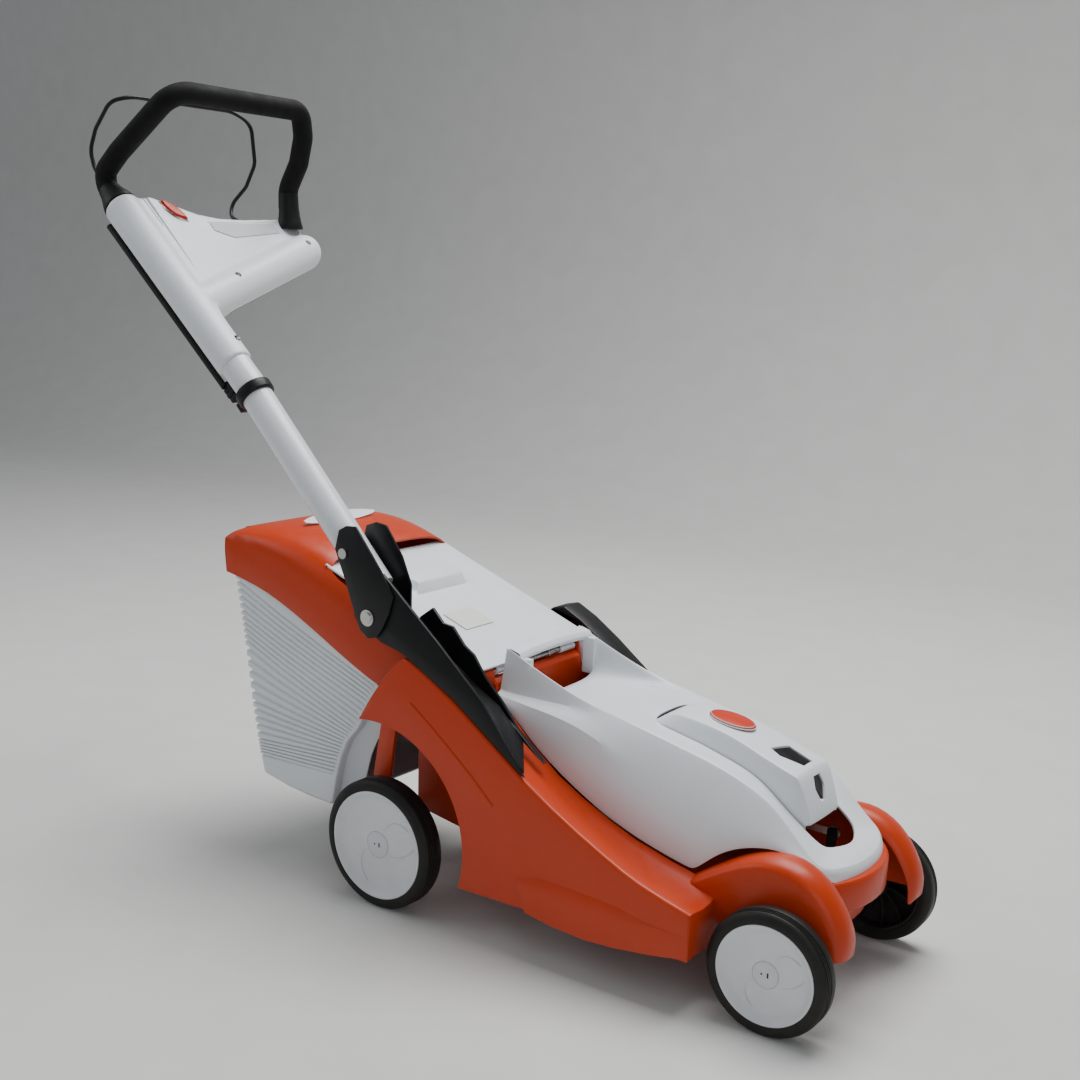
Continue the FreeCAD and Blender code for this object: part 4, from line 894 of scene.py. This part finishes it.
# What is taken away from the head, each as an outline with the depths it starts and ends at.
BUTTON = [(341, 52), (340, 60), (334, 69), (324, 76), (313, 80), (303, 81), (305, 71), (311, 61),
          (321, 55), (331, 52)]
middle = sum((Vector(point) for point in BUTTON), Vector((0, 0))) / len(BUTTON)
OUT = -60
HEAD_SCREWS = [(186, 92, -26, -24.5), (256, 285, -26.5, -24.5), (66, 8, -24.4, -23.5)]
WELL_R = 5.2
CIRCLE = [math.tau * side / 24 for side in range(24)]
HOLLOWS = [
    ([tuple(middle + (Vector(point) - middle) * 1.12) for point in BUTTON], OUT, -17.2),
    ([(304, 118), (308, 200), (313, 262), (288, 262), (268, 150), (286, 116)], OUT, -20.4),
    ([(362, 30), (362, 37), (300, 34), (215, 29.6), (205, 28.4)], OUT, -17),
    ([(362, 24), (362, 26.5), (290, 27.2), (290, 25.6)], OUT, -15.5),
    ([(300, 25), (362, 25), (362, 35), (300, 35)], -9, 40),
    ([(270, 236), (342, 236), (342, 250), (270, 250)], -9, 40)]
HOLLOWS += [([(x + WELL_R * math.cos(turn), y + WELL_R * math.sin(turn)) for turn in CIRCLE],
             OUT, floor) for x, y, z, floor in HEAD_SCREWS]
tools = [cutter(outline, low, high, place=Matrix()) for outline, low, high in HOLLOWS]
for number, tool in enumerate(tools):
    hole = head.modifiers.new(f"cut_{number}", "BOOLEAN")
    hole.operation = "DIFFERENCE"
    hole.solver = "EXACT"
    hole.object = tool
view = bpy.context.evaluated_depsgraph_get()
bm = bmesh.new()
bm.from_mesh(head.evaluated_get(view).to_mesh())
for leftover in tools + [head]:
    bpy.data.objects.remove(leftover)
bmesh.ops.transform(bm, matrix=TO_HEAD, verts=bm.verts)
made("head_shell", bm, "handlebar", GREY, ["head_housing"], angle=40)
bm = bmesh.new()
PANEL_Z = -20.9
skin(bm, [[(x, y, PANEL_Z) for x, y in line]
          for line in (((302, 122), (305, 200), (309, 257)), ((288, 121), (282, 190), (291, 257)),
                       ((287, 120), (273, 152), (289, 257)))])
bmesh.ops.transform(bm, matrix=TO_HEAD, verts=bm.verts)
made("head_panel", bm, "handlebar",
     moulded("panel_grey", (0.50, 0.53, 0.55), 0.5, grain=0.2), wall=-0.6)
SIGNAL = moulded("signal_red", (0.50, 0.016, 0.0), 0.35, gloss=0.35)
bm = bmesh.new()
top = prism(bm, [(x, y, -22.6) for x, y in BUTTON], (0, 0, -3.6))
bmesh.ops.scale(bm, vec=(0.86, 0.86, 1), space=Matrix.Translation((-middle.x, -middle.y, 0)),
                verts=top)
bmesh.ops.recalc_face_normals(bm, faces=bm.faces)
bmesh.ops.transform(bm, matrix=TO_HEAD, verts=bm.verts)
made("start_pad", bm, "start_key", SIGNAL, ["start_button"], bevel=0.9, steps=3)
STEEL = moulded("bright_zinc", (0.62, 0.62, 0.60), 0.28, metal=1.0, grain=0.1)
DARK_STEEL = moulded("dark_steel", (0.10, 0.10, 0.11), 0.35, metal=1.0)


def socket_screw(radius, height, at_point, towards, finish, name, body, replaces=()):
    """A round screw head with a round recessed socket."""
    bm = bmesh.new()
    bmesh.ops.create_cone(bm, cap_ends=True, segments=32, radius1=radius,
                          radius2=radius * 0.86, depth=height)
    crown = max(bm.faces, key=lambda item: item.calc_center_median().z)
    bmesh.ops.inset_region(bm, faces=[crown], thickness=radius * 0.42)
    bmesh.ops.translate(bm, verts=crown.verts, vec=(0, 0, -height * 0.6))
    turn = Vector((0, 0, 1)).rotation_difference(Vector(towards))
    bmesh.ops.transform(bm, verts=bm.verts, matrix=Matrix.Translation(at_point)
                        @ turn.to_matrix().to_4x4())
    return made(name, bm, body, finish, replaces, bevel=0.3)


for number, (x, y, z, floor) in enumerate(HEAD_SCREWS):
    socket_screw(4.6, 2.4, TO_HEAD @ Vector((x, y, z)), TO_HEAD.to_3x3() @ Vector((0, 0, -1)),
                 DARK_STEEL, f"head_screw_{number + 1}", "handlebar",
                 ["head_screws"] if number == 0 else [])
socket_screw(8, 3.4, (-46, -201.4, 406), (0, -1, 0), STEEL, "pivot_head", "chassis")
socket_screw(11, 1.2, (-46, -200, 406), (0, -1, 0), STEEL, "pivot_washer", "chassis")
socket_screw(6.6, 2.6, (-88, -201, 486), (0, -1, 0), STEEL, "foot_screw_head", "handlebar")

# ---------------------------------------------------------------- grip and bail
# The loop grip is a steel core in soft black foam, closed by flared rubber boots. The bail is a
# thin coated wire in front of it, which is squeezed against the grip to run the motor.
FOAM = moulded("black_foam", (0.004, 0.004, 0.004), 0.72, grain=0.5, grain_scale=1500, gloss=0.2)
RUBBER = moulded("black_rubber", (0.006, 0.006, 0.006), 0.5, grain=0.2, grain_scale=1200,
                 gloss=0.25)
GRIP = [(-548.7, -168, 924.6), (-578, -168, 951.6), (-580, -168, 972), (-552, -165, 998),
        (-450, -150, 1077), (-457, 104, 1077), (-458, 110, 1040), (-474, 116, 1003),
        (-502, 120, 965), (-502, 120, 936)]
route = rounded(GRIP, 34, 8)
FOAM_R = 15
made("grip_padding", swept(route, [FOAM_R] * len(route), 32), "handlebar", FOAM,
     ["grip_foam", "grip_tube"])
near_boot = [BEND + UP * reach for reach in (350.5, 353, 360, 368, 376, 384)]
made("near_boot", swept(near_boot, [24.5, 24.5, 22.5, 19.5, 17, 15.6], 40), "handlebar",
     RUBBER, ["grip_boots"], angle=60)
far_boot = [Vector((-498.5 - 0.055 * rise, 120, 905 + rise)) for rise in (0, 2, 10, 20, 32, 54)]
made("far_boot", swept(far_boot, [20, 20.5, 18.6, 16.8, 15.6, 15.2], 36), "handlebar",
     RUBBER, angle=60)
BAIL = [(-519, -138, 897), (-590, -139, 928), (-640, -140, 980), (-648, -140, 1005),
        (-636, -138, 1035), (-606, -134, 1072), (-582, -116, 1079), (-582, 82, 1079),
        (-563, 102, 1062), (-560, 106, 1003), (-575, 100, 968), (-597, 90, 942),
        (-590, 80, 922), (-519, 75, 897)]
wire = rounded(BAIL, 30, 7)
WIRE_R = 3
made("bail_wire", swept(wire, [WIRE_R] * len(wire), 16), "bail", PAINT_BLACK,
     ["bail_lever"])

# ---------------------------------------------------------------- cable, clip and plug
# The control cable runs in the open under the sleeve, held by a clip, and ends in a ribbed plug
# where it would enter the tube.
CABLE = moulded("cable_black", (0.006, 0.006, 0.006), 0.5, grain=0.15, gloss=0.3)
lead = [TO_HEAD @ Vector((x, -8, 32)) for x in (28, 110, 190, 270, 344)]
made("control_cable", swept(lead, [4.6] * 5, 20), "handlebar", CABLE, ["cable"])
bm = bmesh.new()
for x, wide in ((7, 16), (15, 17), (23, 16.5), (30, 14)):
    block(bm, (7.4, wide, wide - 2), (x, 0, 31))
bmesh.ops.transform(bm, matrix=TO_HEAD, verts=bm.verts)
made("cable_connector", bm, "handlebar", CABLE, ["cable_plug"], bevel=1.5, steps=3)
bm = bmesh.new()
for x, tall in ((300, 10), (286, 7)):
    block(bm, (14, 14, tall), (x, 0, 32))
bmesh.ops.transform(bm, matrix=TO_HEAD, verts=bm.verts)
made("cable_holder", bm, "handlebar", CABLE, ["cable_clip"], bevel=1.5, steps=3)

# ---------------------------------------------------------------- pieces taken over as designed
# Turned, pressed and hidden pieces already have their true shape, and get their finish here.
CAST = moulded("die_cast_grey", (0.42, 0.42, 0.43), 0.45, metal=1.0, grain=0.35, grain_scale=500)
BLADE_STEEL = moulded("ground_blade_steel", (0.34, 0.34, 0.35), 0.38, metal=1.0, grain=0.3)
carried = {
    "controller_box": INNER_BLACK, "blade_fan": INNER_BLACK,
    "switch_unit": INNER_BLACK, "head_cover": BLACK, "battery_pack": INNER_BLACK,
    "safety_key": SIGNAL, "motor_case": CAST, "motor_rotor": CAST, "blade": BLADE_STEEL,
    "front_axle": PAINT_BLACK, "rear_axle": PAINT_BLACK, "motor_screws": STEEL,
    "hood_screws": STEEL, "pivot_bolt": STEEL, "foot_screw": STEEL, "flap_hinge_pin": STEEL,
    "flap_springs": STEEL, "height_pivot": STEEL, "shaft_bearings": STEEL, "motor_shaft": STEEL,
    "blade_bolt": STEEL, "tie_rod": STEEL}
for node, finish in carried.items():
    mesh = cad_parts[node].data
    mesh.materials.clear()
    mesh.materials.append(finish)

# ---------------------------------------------------------------- stage, camera and lights
# A pale floor that curves up into a wall behind, with a broad overhead light and weak fills.
floor = bmesh.new()
skin(floor, [[(-9, y, 0), (9, y, 0)] for y in (-6, 2.5)] +
     [[(-9, 2.5 + 1.5 * math.sin(turn), 1.5 - 1.5 * math.cos(turn)),
       (9, 2.5 + 1.5 * math.sin(turn), 1.5 - 1.5 * math.cos(turn))]
      for turn in [math.radians(10 * step) for step in range(1, 10)]] +
     [[(-9, 4, 7), (9, 4, 7)]])
backdrop = placed("floor", floor)
sheet = backdrop.data
sheet.polygons.foreach_set("use_smooth", [True] * len(sheet.polygons))
sheet.materials.append(moulded("pale_floor", (0.62, 0.62, 0.60), 0.8, grain=0.0))
backdrop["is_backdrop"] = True

yaw, pitch, roll = 0.6247, 0.2602, 0.0299
back = Vector((math.sin(yaw) * math.cos(pitch), -math.cos(yaw) * math.cos(pitch), math.sin(pitch)))
level_right = Vector((math.cos(yaw), math.sin(yaw), 0))
level_up = back.cross(level_right)
right = math.cos(roll) * level_right + math.sin(roll) * level_up
up = math.cos(roll) * level_up - math.sin(roll) * level_right
lens = bpy.data.cameras.new("camera")
lens.sensor_width = 36
lens.lens = 46.72
lens.shift_x = 0.023
lens.shift_y = 0.103
camera = bpy.data.objects.new("camera", lens)
camera.matrix_world = Matrix((
    (right.x, up.x, back.x, 1.1544 + DATUM_X / 1000),
    (right.y, up.y, back.y, -1.5311),
    (right.z, up.z, back.z, 0.8415),
    (0, 0, 0, 1)))
bpy.context.scene.collection.objects.link(camera)
bpy.context.scene.camera = camera


def area_light(name, place, aim, size, power):
    """A soft rectangular light that looks at a point."""
    lamp = bpy.data.lights.new(name, "AREA")
    lamp.size = size
    lamp.energy = power
    holder = bpy.data.objects.new(name, lamp)
    holder.location = place
    holder.rotation_euler = (Vector(aim) - Vector(place)).to_track_quat("-Z", "Y").to_euler()
    bpy.context.scene.collection.objects.link(holder)


area_light("overhead", (0.1, 0.9, 3.4), (0, 0, 0.2), 2.4, 165)
area_light("front_fill", (2.8, -2.4, 1.6), (0, 0, 0.4), 1.8, 14)
area_light("left_fill", (-2.4, -1.6, 2.0), (0, 0, 0.5), 1.6, 16)
sky = bpy.data.worlds.new("sky")
sky.use_nodes = True
sky.node_tree.nodes["Background"].inputs["Color"].default_value = (0.86, 0.90, 0.95, 1)
sky.node_tree.nodes["Background"].inputs["Strength"].default_value = 0.34
bpy.context.scene.world = sky

# ---------------------------------------------------------------- overall bounds
low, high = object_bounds()
